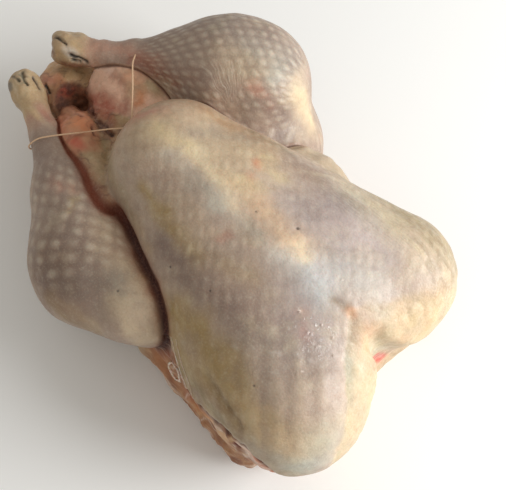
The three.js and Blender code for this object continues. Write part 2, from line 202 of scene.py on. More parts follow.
near_lobe, far_lobe, keel = limb(*BREAST_NEAR), limb(*BREAST_FAR), limb(*KEEL)
crown, flank, rump = ellipsoid(*CROWN), rounded_box(*FLANK), ellipsoid(*RUMP)
neck_notch, slab, far_lump = limb(*NECK_NOTCH), rounded_box(*BACK_SLAB), limb(*FAR_LUMP)
near_strip, far_strip, neck_hollow = limb(*NEAR_STRIP), limb(*FAR_STRIP), limb(*NECK_HOLLOW)
near_leg = leg(NEAR_SHANK, NEAR_CALF, NEAR_THIGH, NEAR_KNEE, KNEE_END)
far_leg = leg(FAR_SHANK, FAR_CALF, FAR_THIGH)
belly, tail, hollow = ellipsoid(*BELLY), ellipsoid(*TAIL), limb(*HOLLOW)
flap, fat, groin = ellipsoid(*FLAP), limb(*FAT), limb(*GROIN)


def breast(p):
    f = join(near_lobe(p), far_lobe(p), LOBE_BLEND)
    f = join(f, keel(p), KEEL_BLEND)
    f = join(f, crown(p), CROWN_BLEND)
    f = join(f, flank(p), FLANK_BLEND)
    f = join(f, rump(p), RUMP_BLEND)
    return cut(f, neck_notch(p), NECK_NOTCH_BLEND)


def back(p):
    f = join(join(slab(p), near_strip(p), STRIP_BLEND), far_strip(p), STRIP_BLEND)
    return cut(f, neck_hollow(p), NECK_HOLLOW_BLEND)


def torso(p):
    return join(join(breast(p), back(p), BACK_BLEND), far_lump(p), FAR_LUMP_BLEND)


def vent(p):
    f = cut(join(belly(p), tail(p), TAIL_BLEND), hollow(p), HOLLOW_BLEND)
    f = join(join(f, groin(p), TAIL_BLEND), flap(p), FLAP_BLEND)
    return join(f, fat(p), FAT_BLEND)


def flesh(p):
    f = join(torso(p), vent(p), VENT_BLEND)
    return join(join(f, near_leg(p), LEG_BLEND), far_leg(p), LEG_BLEND)


def bird_field(p):
    return np.maximum(flesh(p), -p[:, 2])


def leg_gaps(p):
    """How far a point is from the fold beside the near leg, and from the one beside the far leg."""
    rest = np.minimum(torso(p), vent(p))
    return np.abs(near_leg(p) - rest), np.abs(far_leg(p) - rest)


def slope_of(f, p):
    return np.stack([f(p + d) - f(p - d) for d in np.eye(3) * PROBE], 1) / (2 * PROBE)


def outward(f, p):
    n = slope_of(f, p)
    return n / np.maximum(length(n), 1e-6)[:, None]


def onto(f, p, steps=DRAW_STEPS):
    for _ in range(steps):
        g = slope_of(f, p)
        move = g * (f(p) / np.maximum((g * g).sum(1), LEAST_SLOPE))[:, None]
        p = p - move * (DRAW_LONGEST / np.maximum(length(move), DRAW_LONGEST))[:, None]
    return p


# ---- Skin over the field ----
def field_on_grid(f):
    lines = [np.arange(lo, hi + GRID_STEP, GRID_STEP) for lo, hi in zip(GRID_LOW, GRID_HIGH)]
    value = np.empty([len(c) for c in lines], np.float32)
    y, z = (c.ravel() for c in np.meshgrid(lines[1], lines[2], indexing="ij"))
    for i, x in enumerate(lines[0]):
        value[i] = f(np.stack([np.full(y.size, x), y, z], 1)).reshape(value.shape[1:])
    return value


def skin(f):
    """One point in each cell that the surface crosses, and a quad across each edge that it crosses."""
    value = field_on_grid(f)
    inside = value < 0
    nx, ny, nz = (n - 1 for n in value.shape)
    corners = itertools.product((0, 1), repeat=3)
    count = sum(inside[i:nx + i, j:ny + j, k:nz + k].astype(int) for i, j, k in corners)
    crossed = (count > 0) & (count < 8)
    index = np.full(crossed.shape, -1)
    index[crossed] = np.arange(crossed.sum())
    cell = np.stack(np.where(crossed), 1)
    total, hits = np.zeros((len(cell), 3)), np.zeros(len(cell))
    for axis in range(3):
        for n in range(4):
            a = np.zeros(3, int)
            a[(axis + 1) % 3], a[(axis + 2) % 3] = n & 1, n >> 1
            b = a.copy()
            b[axis] = 1
            va, vb = value[tuple((cell + a).T)], value[tuple((cell + b).T)]
            m = (va < 0) != (vb < 0)
            at = np.tile(a.astype(float), (len(cell), 1))
            at[:, axis] += np.where(m, va / np.where(m, va - vb, 1), 0)
            total[m] += at[m]
            hits[m] += 1
    points = (total / hits[:, None] + cell) * GRID_STEP + np.array(GRID_LOW, float)
    quads = []
    for axis in range(3):
        u, v = (axis + 1) % 3, (axis + 2) % 3
        across = inside != np.roll(inside, -1, axis)
        window = [slice(1, -1)] * 3
        window[axis] = slice(0, -1)
        g = np.stack(np.where(across[tuple(window)]), 1)
        g[:, (u, v)] += 1
        corners = []
        for du, dv in ((-1, -1), (0, -1), (0, 0), (-1, 0)):
            c = g.copy()
            c[:, u] += du
            c[:, v] += dv
            corners.append(index[tuple(c.T)])
        quad = np.stack(corners, 1)
        out = ~inside[tuple(g.T)]
        quad[out] = quad[out][:, ::-1]
        quads.append(quad)
    return points, np.concatenate(quads)


# ---- Helpers for relief and colour ----
HASH_AXES, HASH_BITS = (73856093, 19349663, 83492791), 0x7FFFFFFF
HASH_MIX = ((13, 1274126177), (16, 668265263))
SEED_STEP = 31.7
STROKE_FALL = 1.4  # how fast a painted line fades beside its middle


def ramp(x, low, high):
    t = np.clip((x - low) / (high - low), 0, 1)
    return t * t * (3 - 2 * t)


def bell(x, width):
    return np.exp(-(x / width) ** 2)


def noise(p, size, seed=0):
    """Smooth lumps of about that size, from -1 to 1."""
    q = p / size + seed * SEED_STEP
    base = np.floor(q)
    w = q - base
    w = w * w * w * (w * (w * 6 - 15) + 10)
    cell, total = base.astype(np.int64), np.zeros(len(p))
    for corner in itertools.product((0, 1), repeat=3):
        a, b, c = ((cell[:, i] + corner[i]) * HASH_AXES[i] for i in range(3))
        n = (a ^ b ^ c) & HASH_BITS
        for shift, factor in HASH_MIX:
            n = (n ^ (n >> shift)) * factor & HASH_BITS
        x, y, z = (w[:, i] if corner[i] else 1 - w[:, i] for i in range(3))
        total += x * y * z * (n / (HASH_BITS // 2) - 1)
    return total


def from_path(p, path):
    """Distance to a line through the given places."""
    best = np.full(len(p), 1e9)
    path = [np.array(c, float) for c in path]
    for a, b in zip(path, path[1:]):
        d = b - a
        t = np.clip((p - a) @ d / max(d @ d, 1e-9), 0, 1)
        best = np.minimum(best, length(p - a - t[:, None] * d))
    return best


def stroke(p, path, width):
    return np.exp(-(from_path(p, path) / width) ** 2 * STROKE_FALL)


def blob(p, at, radius, soft=0.6):
    """1 near a place, 0 beyond the radius (one number, or one for each axis)."""
    return 1 - ramp(length((p - np.array(at, float)) / np.array(radius, float)), 1 - soft, 1)


def linear(rgb):
    """An sRGB colour of 0 to 255 as Blender's linear colour."""
    c = np.array(rgb, float) / 255
    return np.where(c <= 0.04045, c / 12.92, ((c + 0.055) / 1.055) ** 2.4)


def ragged(p, coarse=1.0, fine=1.0):
    """The points shifted about a little, so that what is drawn at named places has uneven edges."""
    return p + np.stack([noise(p, 13, s) * 1.5 * coarse + noise(p, 4, s + 3) * 0.8 * fine
                         for s in (61, 62, 63)], 1)


# ---- Named places ----
# Height of the breast skin's lower edge along the bird, where the wing was cut away: flesh shows below it.
NEAR_SKIN_EDGE = ((-30, 46), (-8, 72), (8, 88), (20, 91), (28, 88), (37, 80), (49, 70), (62, 72), (75, 79),
                  (90, 86), (101, 91), (115, 94), (131, 87), (141, 78), (156, 60), (170, 50))
FAR_SKIN_EDGE = ((-30, 46), (-8, 66), (8, 76), (20, 79), (40, 69), (50, 58), (62, 60), (84, 71), (104, 82),
                 (128, 84), (146, 72), (156, 60), (170, 50))
# Where the grey top skin ends and the cream fat of the neck end begins: x by y.
CREAM_EDGE = ((-95, 172), (-78, 166), (-60, 158.6), (-46, 147), (-33, 134), (-20, 122), (-10, 114), (-1, 107),
              (13, 113), (23, 118), (46, 128), (64, 136), (85, 142), (110, 138))
KEEL_FOLD = ((93, -5.4, 141.4), (99, -3.5, 139.8), (103, -2, 138))
FLANK_FOLD = ((64, -99, 115), (72, -102, 113), (82, -104, 112), (94, -106.5, 109.5), (105, -109, 107))
# Slits in the cut ankles and fissures beside the vent: half width, then the line.
SLITS = (
    (1.0, ((-247, -31, 86), (-238, -31, 90))), (1.2, ((-243, -24, 90), (-236, -28, 91), (-230, -29, 91))),
    (0.9, ((-243, -27, 89), (-237, -24, 91))), (1.2, ((-233, -20, 88), (-227, -20, 87), (-223, -21, 86))),
    (1.0, ((-235, -11, 67), (-226, -14, 67))), (1.0, ((-245, 17, 98), (-239, 18, 99), (-233, 18, 99))),
    (1.6, ((-225, 15, 94), (-220, 18, 92), (-214, 22, 88))), (1.2, ((-223, 14, 90), (-218, 18, 88))))
FISSURES = (
    (1.3, ((-181, -3, 75), (-172, -6, 78), (-162, -7, 80), (-149, -7, 83))),
    (1.5, ((-169, -8, 79), (-160, -10, 81))), (1.6, ((-155, -8, 82), (-148, -8, 83))),
    (0.9, ((-163, -14, 86), (-154, -20, 89))), (1.0, ((-203, 4, 60), (-192, 6, 72), (-181, -3, 75))),
    (0.9, ((-200, -14, 70), (-190, -18, 80), (-178, -14, 84))))
# Small wet bumps, each with a painted highlight (a glint) on it.
GLINTS = ((83, -28, 141), (97, -34, 137), (99.5, -33, 136.4), (111, -23, 132), (108, -37, 133),
          (120, -31, 128), (88, 10, 142), (112, -60, 133), (100, -23, 137))
GLINT_RADIUS = 1.5
# Dark pores in the skin and holes in the cut flesh: place, then radius.
PORES = (((38.2, 17.1, 143.7), 1.9), ((7.1, 5, 144.4), 1.1), ((-11.9, -65.3, 124.9), 1.5),
         ((26.1, -60.5, 136.7), 1.1), ((-32, -102, 107), 1.6), ((-20, -107, 105), 1.0), ((112, 66, 126), 1.0),
         ((96, -86, 128), 1.1))
HOLES = (((102, -116, 91), 3.0), ((109, -119, 79), 4.2))
RED_CUT = ((133, 12, 58), (133, 18, 44), (135, 21, 34))
# Pleats fan out from a place on the fold inside the far knee.
PLEAT_CENTRE, PLEAT_ACROSS, PLEAT_ALONG = (-79, 66, 112), (0.707, 0.707, 0), (-0.646, 0.646, 0.407)
# Ridges run down and forward over the near lobe, each with a knob at its head.
RIDGE_ACROSS, RIDGE_SPACING, RIDGE_PHASE, RIDGE_FADE = (0.66, 0.75), 16.5, 13.0, 24
RIDGE_HEADS = ((68.5, -76.2, 133.9), (80, -68.5, 136), (91.1, -62.3, 137.3), (103.1, -50.7, 135.8),
               (111.5, -46.2, 133.3), (94, -59, 136.5), (99.9, -71.2, 133.7))
# Spacing of the breast's feather pits across and along, the height of the axis that their rows are rolled out
# from, and mm for each radian round it.
BREAST_PIT, BODY_AXIS, BODY_ROUND = (8.0, 12.5), 40, 96
# On the legs: the steps from pit to pit in a row and from row to row, along the leg's line and round it, and
# one pit.
PITS = {"near": ((8.9, 4.9), (8.1, -8.3), (147.8, 32.6)), "far": ((9.3, -2.0), (5.1, 7.6), (164.2, 8.8))}
LEG_ROUND, CELL_SHIFT = 46, 40  # mm for each radian round a leg, and cells that keep its pattern apart


def skin_edge_height(p):
    near, far = (np.interp(p[:, 0], *zip(*edge)) for edge in (NEAR_SKIN_EDGE, FAR_SKIN_EDGE))
    return np.where(p[:, 1] < 0, near, far)


def cream_edge_x(p):
    return np.interp(p[:, 1], *zip(*CREAM_EDGE))


# ---- Lines ----
def closed_curve(points, samples):
    """A smooth closed curve through the points, by centripetal spacing."""
    q = np.array(points, float)
    n, out = len(q), []
    for i in range(n):
        p = [q[(i + k) % n] for k in (-1, 0, 1, 2)]
        t = np.cumsum([0] + [np.linalg.norm(b - a) ** 0.5 for a, b in zip(p, p[1:])])
        for u in np.linspace(t[1], t[2], samples // n, endpoint=False):
            a = [((t[k + 1] - u) * p[k] + (u - t[k]) * p[k + 1]) / (t[k + 1] - t[k]) for k in range(3)]
            b = [((t[k + 2] - u) * a[k] + (u - t[k]) * a[k + 1]) / (t[k + 2] - t[k]) for k in range(2)]
            out.append(((t[2] - u) * b[0] + (u - t[1]) * b[1]) / (t[2] - t[1]))
    return np.array(out)


def spaced(line, count, closed):
    """Evenly spaced points along a line."""
    if closed:
        line = np.vstack([line, line[:1]])
    along = np.concatenate([[0], np.cumsum(length(np.diff(line, axis=0)))])
    at = np.linspace(0, along[-1], count, endpoint=not closed)
    return np.stack([np.interp(at, along, line[:, c]) for c in range(3)], 1)


def taut_loop():
    """The string, pulled tight round the flesh: each point keeps its place along the legs."""
    loop = spaced(closed_curve(STRING_STATIONS, 2000), STRING_POINTS, True)
    station = loop[:, 0].copy()
    for _ in range(STRING_STEPS):
        middle = np.roll(loop, 1, 0) + np.roll(loop, -1, 0) - 2 * loop
        loop[:, 1:] += middle[:, 1:] * STRING_PULL
        loop[:, 0] += (station - loop[:, 0]) * STRING_GRIP
        f = flesh(loop)
        m = f < STRING_GAP
        if m.any():
            g = slope_of(flesh, loop[m])
            push = np.minimum((STRING_GAP - f[m]) / np.maximum((g * g).sum(1), LEAST_SLOPE), DRAW_LONGEST)
            loop[m] += g * push[:, None]
    # Round the far shank it lies in a fold of the skin.
    return loop - outward(far_leg, loop) * (STRING_SINK * (1 - ramp(far_leg(loop), 2.2, 7)))[:, None]


STRING_PATH = taut_loop()


# ---- Zones of the skin ----
def near_fold(p):
    """1 beside the near leg, 0 beside the far one."""
    return ramp(-p[:, 1], -10, 10)


def share_along(p, axis):
    a, b = np.array(axis[0], float), np.array(axis[1], float)
    return (p - a) @ (b - a) / ((b - a) @ (b - a))


def leg_zones(p, z):
    x, y, height = p.T
    near_gap, far_gap = leg_gaps(p)
    gap, near_side = np.minimum(near_gap, far_gap), near_gap < far_gap
    # The near fold gapes beside the vent and closes towards the knee; the far one is thin and fades here and
    # there.
    near_width = 2.4 + 2.6 * ramp(x, -165, -125) + 2.4 * ramp(x, -106, -84)
    width = np.where(near_side, near_width, 1.8 + 0.7 * noise(p, 22, 6)) * (1 + 0.18 * noise(p, 9, 7))
    faint = np.where(near_side, 1.0, 0.55 + 0.45 * ramp(noise(p, 30, 8), -0.3, 0.3))
    faint = faint * (1 - ramp(x, -30, -16) * ramp(y, 70, 84)) * ramp(height, 20, 60)
    # The fold's core and the band beside it, where painted shade is laid later.
    z["fold"] = (1 - ramp(gap, 0, width)) * faint
    z["shade"] = (1 - ramp(gap, width * 0.3, width * 1.8)) * faint
    z["ankle"], z["hock"] = np.zeros(len(p)), np.zeros(len(p))
    for name, axis in AXES.items():
        s = share_along(p, axis)
        z["ankle"] += z[name] * (1 - ramp(s, 0.02, 0.13))
        z["hock"] += z[name] * ramp(s, 0.06, 0.14) * (1 - ramp(s, 0.24, 0.34))
    q = p - np.array(PLEAT_CENTRE, float)
    a, b = q @ np.array(PLEAT_ACROSS), q @ np.array(PLEAT_ALONG)
    turn = np.arctan2(a, np.maximum(b, 1e-3)) + 0.10 * noise(p, 14, 37) + 0.05 * noise(p, 6, 38)
    z["fan"] = np.stack([b * 0.07, turn * 30, 0 * b], 1)
    in_fan = ramp(b, 3, 14) * (1 - ramp(b, 26, 54)) * (1 - ramp(np.abs(turn + 0.25), 0.3, 0.75))
    z["pleat"] = z["far"] * in_fan


def torso_zones(p, z):
    x, y, height = p.T
    z["side"] = ramp(np.abs(y + 2), 62, 76) * ramp(x, -16, 4) * ramp(-x, -158, -140)
    z["edge"] = skin_edge_height(p) + noise(p, 9, 3) * 2.4 + noise(p, 4, 4) * 1.3 - height
    z["lump"] = z["torso"] * (1 - ramp(far_lump(p), 8, 22))
    z["cut"] = z["torso"] * z["side"] * ramp(z["edge"], -0.8, 1.0) * (1 - z["lump"])
    soft = 4 * ramp(y, 0, 20)
    past = x - cream_edge_x(p) + noise(p, 11, 5) * 2.6
    z["cream"] = z["torso"] * (1 - z["cut"]) * ramp(past, -2.5 - soft, 3.0 + soft)


def vent_zones(p, z):
    z["hollow"] = z["vent"] * (1 - ramp(hollow(p), 0.5, 4)) * ramp(82 - p[:, 2], 0, 10)
    z["flap"] = z["vent"] * (1 - ramp(flap(p), 0.4, 2.2))
    z["fat"] = z["vent"] * (1 - ramp(fat(p), 0.4, 2.2)) * (1 - z["flap"])
    z["tail"] = z["vent"] * (1 - ramp(tail(p), 0.5, 4)) * (1 - z["hollow"]) * ramp(-p[:, 0], 196, 208)
    z["plain"] = z["vent"] * (1 - np.clip(z["flap"] + z["hollow"] + z["tail"] + z["fat"], 0, 1))


def zones(p):
    """Shares, from 0 to 1, of the parts and surfaces that a point belongs to.

    Also how far it is below the skin's edge and from the string, and where it is on the fan of pleats.
    """
    parts = {"torso": torso(p), "vent": vent(p), "near": near_leg(p), "far": far_leg(p)}
    lowest = np.min(list(parts.values()), axis=0)
    z = {name: 1 - ramp(v - lowest, 0.3, 2.5) for name, v in parts.items()}
    total = sum(z.values())
    z = {name: v / total for name, v in z.items()}
    leg_zones(p, z)
    torso_zones(p, z)
    vent_zones(p, z)
    z["skin"] = 1 - np.clip(z["cut"] + z["hollow"], 0, 1)
    z["string"] = from_path(p, np.vstack([STRING_PATH, STRING_PATH[:1]]))
    return z


# ---- Relief ----
# Lumps of each surface: height, size, seed, and how far the pattern is squeezed along x, y and z.
LUMPS = {
    "skin": ((0.6, 34, 11), (0.25, 13, 12)),
    "cream": ((0.4, 10, 14), (0.2, 3.6, 15)),
    "lump": ((0.9, 7, 39),),
    "cut": ((2.0, 13, 17), (1.1, 6, 18), (0.45, 3, 19, (0.4, 1, 1))),
    "ankle": ((2.4, 11, 20, (0.5, 1, 1)), (0.6, 4, 21)),
    "hock": ((0.9, 11, 32), (0.4, 5, 36)),
    "hollow": ((1.8, 11, 22), (0.9, 5, 23, (1, 0.5, 1))),
    "fat": ((1.8, 13, 24), (0.7, 5.5, 25)),
    "tail": ((1.3, 11, 26), (0.8, 4.5, 27, (1, 0.5, 1))),
    "flap": ((1.3, 17, 28), (0.35, 6, 29)),
    "plain": ((1.3, 10, 34), (0.6, 4.5, 35)),
}
SUNK = {"cream": 0.4, "cut": 1.8}  # below the skin beside it


def groove(p, path, depth, width):
    return -depth * bell(from_path(p, path), width)


def lobe_ridges(p, front):
    """Where the near lobe's ridges show, and their wave. They fade from x = front on."""
    x, y = p[:, 0], p[:, 1]
    across = x * RIDGE_ACROSS[0] + y * RIDGE_ACROSS[1] + 1.6 * noise(p, 30, 13)
    share = ramp(x, 62, 84) * ramp(-x, -front - RIDGE_FADE, -front)
    share = share * ramp(-y, 34, 50) * ramp(-y, -108, -92)
    return share, np.cos((across - RIDGE_PHASE) * 2 * math.pi / RIDGE_SPACING)


def relief(p, z):
    """Height to add along the normal."""
    t, uneven, h = z["torso"], ragged(p), np.zeros(len(p))
    for name, lumps in LUMPS.items():
        for height, size, seed, *squeeze in lumps:
            h += z[name] * height * noise(p * squeeze[0] if squeeze else p, size, seed)
    for name, depth in SUNK.items():
        h -= z[name] * depth
    ridges, wave = lobe_ridges(p, 128)
    h += t * ridges * 0.26 * wave
    for at in RIDGE_HEADS:
        h += 0.5 * bell(length(p - at), 2.6)
    # The fold at the front of the keel has a lip on its far side, and the one on the flank a swell around it.
    fold = from_path(p, KEEL_FOLD)
    h += t * (0.7 * bell(fold - 6, 3.0) * ramp(p[:, 1], -4, 6) - 1.5 * bell(fold, 2.2))
    h += t * (0.8 * bell(from_path(p, FLANK_FOLD) - 9, 5.48) + groove(uneven, FLANK_FOLD, 1.0, 2.6))
    # Soft folds of the neck end, wrinkles of the far side, and the lip of the skin above the cut flesh.
    h -= z["cream"] * 0.55 * bell(noise(p * (1, 1, 0.3), 15, 16), 0.16)
    h += t * ramp(p[:, 1], 60, 84) * 0.35 * noise(p * (0.16, 1, 1), 4.5, 31)
    h += t * z["side"] * (0.7 * bell(z["edge"] + 3, 3) - 1.8 * bell(z["edge"] - 3, 3))
    h += z["pleat"] * 0.22 * noise(z["fan"], 1.0, 33)
    for half, slit in SLITS:
        h += groove(p, slit, 2.6, half)
    for half, path in FISSURES:
        h += groove(uneven, path, 2.4, half * 1.2)
    # The string presses into both shanks, and the legs' folds are drawn in.
    h -= (z["near"] + 0.5 * z["far"]) * bell(z["string"], 2.6)
    h -= z["fold"] * (1.3 + 1.0 * near_fold(p))
    for at in GLINTS:
        h += 0.5 * blob(p, at, GLINT_RADIUS, 0.9)
    for at, radius in PORES:
        h -= 0.5 * bell(length(p - at), radius)
    for at, radius in HOLES:
        h -= 3.2 * bell(length(p - at), radius)
    return h * ramp(p[:, 2], 0, 6)


# ---- Colours, sRGB ----
WARMTH = np.array((1.04, 0.97, 0.93))  # of the light on the skin's colours
LILAC, MAUVE, DUSK = (178, 162, 148), (150, 132, 119), (134, 117, 108)
BEIGE, TAN = (186, 166, 136), (172, 141, 108)
OLIVE, GREEN_GREY, YELLOW, PEACH = (160, 138, 92), (150, 138, 104), (206, 188, 142), (214, 174, 130)
# BLUE_WHITE_SHEEN is a painted sheen.
GREY_BLUE, BLUE_WHITE_SHEEN, BLUSH, ROSE = (168, 162, 150), (184, 186, 176), (186, 134, 114), (176, 122, 104)
CREAM, FAT_WHITE, KNEE_CREAM, ANKLE = (198, 181, 150), (214, 196, 162), (202, 187, 160), (184, 163, 126)
# Painted shade: CREASE_SHADE in the legs' folds and FOLD_RED beside them, the flesh's red-brown darkened;
# FOLD_RED also serves as a flesh colour in marks. DARK_RED is painted shade in the holes of the cut flesh.
CREASE_SHADE, FOLD_RED, DARK_RED = (56, 19, 9), (136, 68, 42), (104, 36, 26)
MUSCLE, RAW_PINK = (154, 94, 70), (214, 146, 120)
SINEW, ORANGE, ORANGE_SPOT, SHADOW_BROWN = (228, 218, 206), (200, 128, 78), (196, 134, 102), (124, 98, 68)
# BLACK is painted shade inside the ankles' slits; GLINT is a painted highlight.
BLACK, PORE, GLINT = (22, 16, 14), (64, 54, 52), (240, 236, 230)

# Mottling: colour, strength, and the range over which a mix of lumps of the sizes below brings it in.
MOTTLE_LUMPS = ((24, 52), (12, 53), (6, 54), (3, 57))  # size, seed
MOTTLING = {
    "torso": ((BEIGE, 0.35, 0.0, 0.7, (1, 0.4, 0, 0)),),
    "cream": (((208, 172, 134), 0.3, 0.1, 0.8, (0, 1, 0, 0)),
              ((196, 176, 128), 0.3, 0.2, 0.9, (0, -1, -0.4, 0))),
    "leg": ((LILAC, 0.35, -0.1, 0.7, (1, 0, 0, 0)),),
    "ankle": (((176, 152, 118), 0.35, 0.1, 0.8, (0, 0, 1, 0.5)),),
    "vent": (((150, 132, 92), 0.45, -0.2, 0.6, (0, 1, 0, 0)), (BLUSH, 0.3, 0.3, 0.9, (0, 1, 1, 0)),
             ((122, 88, 62), 0.4, 0.2, 0.8, (0, -1, -0.5, 0))),
    "tail": (),
    "fat": (((206, 158, 124), 0.5, 0.0, 0.7, (0, 0, 1, 0)),
            ((160, 92, 64), 0.45, 0.1, 0.7, (0, -0.4, -1, 0))),
    "flap": (((172, 124, 98), 0.35, 0.1, 0.8, (0, 1, 0.5, 0)),),
    # The darkest browns in the hollow and round its mouth are painted shade.
    "hollow": (((62, 36, 26), 0.6, 0.0, 0.6, (0, 0, 0.6, 1)),
               ((150, 96, 66), 0.5, 0.3, 0.9, (0, 0, -0.6, -1))),
    "around": (((66, 38, 28), 0.5, 0.1, 0.7, (0, 0, 0.6, 1)),),
    "cut": (((126, 80, 58), 0.75, 0.0, 0.5, (0, 0.5, 1, 0)), ((150, 106, 74), 0.5, 0.1, 0.5, (1, 0, 0.4, 0)),
            ((206, 176, 134), 0.5, 0.2, 0.7, (0, 0.4, -1, 0))),
    "far_cut": ((MUSCLE, 0.7, -0.2, 0.3, (0, 1, 0.3, 0)),),
}
# Spots on the ankles: leg, colour, strength, place, radii, softness.
ANKLE_SPOTS = (
    ("far", (128, 72, 54), 0.8, (-226, 15, 80), (18, 12, 11), 0.6),
    ("near", (88, 84, 82), 0.8, (-244, -38, 83), (6, 5, 9), 0.6),
    ("near", ROSE, 0.5, (-198, -34, 86), (26, 6, 8), 0.8),
    ("near", YELLOW, 0.45, (-206, -41, 87), (16, 5, 8), 0.8),
    ("far", (214, 208, 198), 0.7, (-227, 17, 95), (12, 8, 6), 0.7),
)

# Broad lighter and darker places, partly painted light, shade and sheen and partly the skin's own tone:
# factor or one for each of red, green and blue, then width and path.
BREAST_TONES = (
    (1.28, 15, ((-60, -3, 144), (-47, 5, 145), (-27, 7, 145), (-2, -8, 144))),
    (1.42, 14, ((44, -3, 145), (62, 10, 144), (78, 0, 144))),
    (1.22, 18, ((59, 46, 136), (82, 54, 133), (102, 64, 131))),
    (0.72, 15, ((70, -70, 136), (93, -52, 138), (112, -34, 133))),
    (0.82, 12, ((92, -78, 132), (121, -51, 131))),
    (1.22, 9, ((99, -98, 119), (113, -92, 124))),
    (1.18, 12, ((129, -98, 115), (154, -90, 98))),
    (0.84, 9, ((91, -115, 86), (107, -116, 91))),
    (1.10, 14, ((-100, 8, 138), (-75, 30, 136))),
    ((1.06, 1.16, 1.36), 34, ((34, 30, 139), (46, 44, 137), (73, 30, 140), (75, -4, 144), (91, -23, 140))),
    ((1.0, 1.06, 1.16), 20, ((40, 68, 128), (73, 64, 131), (98, 53, 133))),
    ((1.05, 1.08, 1.12), 22, ((-60, 16, 143), (-20, 20, 142), (0, 30, 140))),
    ((0.80, 0.84, 0.92), 10, ((-71, 23, 143), (-56, 38, 137), (-43, 49, 132))),
    ((0.70, 0.74, 0.74), 9, ((-48, 60, 124), (-39, 60, 125), (-22, 67, 121))),
    ((0.78, 0.72, 0.66), 14, ((56, -107, 97), (69, -108, 100), (88, -108, 106))),
    ((1.05, 1.25, 1.38), 18, ((154, -97, 88), (159, -87, 93), (155, -75, 109))),
)
# At the neck end: painted shade in the notch between the lobes, then a bluer band below it.
NECK_TONES = (
    ((0.58, 0.66, 0.70), 12, ((113, -17, 131), (123, -21, 125), (137, -34, 121), (146, -46, 118))),
    ((0.72, 0.78, 0.86), 15, ((112, 18, 132), (122, 16, 125), (115, 2, 131))),
    ((0.92, 1.02, 1.12), 18, ((131, 6, 96), (134, 19, 62))),
)
NEAR_TONES = (
    (0.72, 30, ((-92, -118, 102), (-76, -106, 109), (-55, -100, 108))),
    (0.76, 16, ((-82, -135, 88), (-60, -121, 102), (-42, -108, 106))),
    (0.86, 16, ((-120, -84, 102), (-100, -92, 106))),
    ((0.92, 0.86, 0.82), 22, ((-87, -137, 84), (-99, -118, 101), (-77, -121, 102))),
    ((0.86, 0.80, 0.78), 12, ((-91, -132, 90), (-80, -137, 85), (-68, -137, 86))),
    ((0.88, 0.82, 0.80), 12, ((-60, -136, 86), (-51, -134, 86), (-40, -130, 86))),
    ((0.86, 0.78, 0.74), 12, ((-57, -72, 104), (-37, -75, 103), (-12, -80, 107))),
)
FAR_TONES = (
    (0.80, 12, ((-69, 114, 125), (-75, 127, 126))),
    (0.72, 15, ((-70, 81, 116), (-56, 98, 109), (-43, 92, 92))),
    ((0.86, 0.76, 0.72), 13, ((-200, 25, 85), (-172, 41, 94), (-148, 54, 105), (-119, 62, 120))),
    ((1.16, 1.12, 1.06), 12, ((-97, 62, 114), (-82, 71, 114))),
    ((1.02, 1.1, 1.16), 22, ((-132, 109, 135), (-104, 115, 137), (-82, 134, 126))),
)
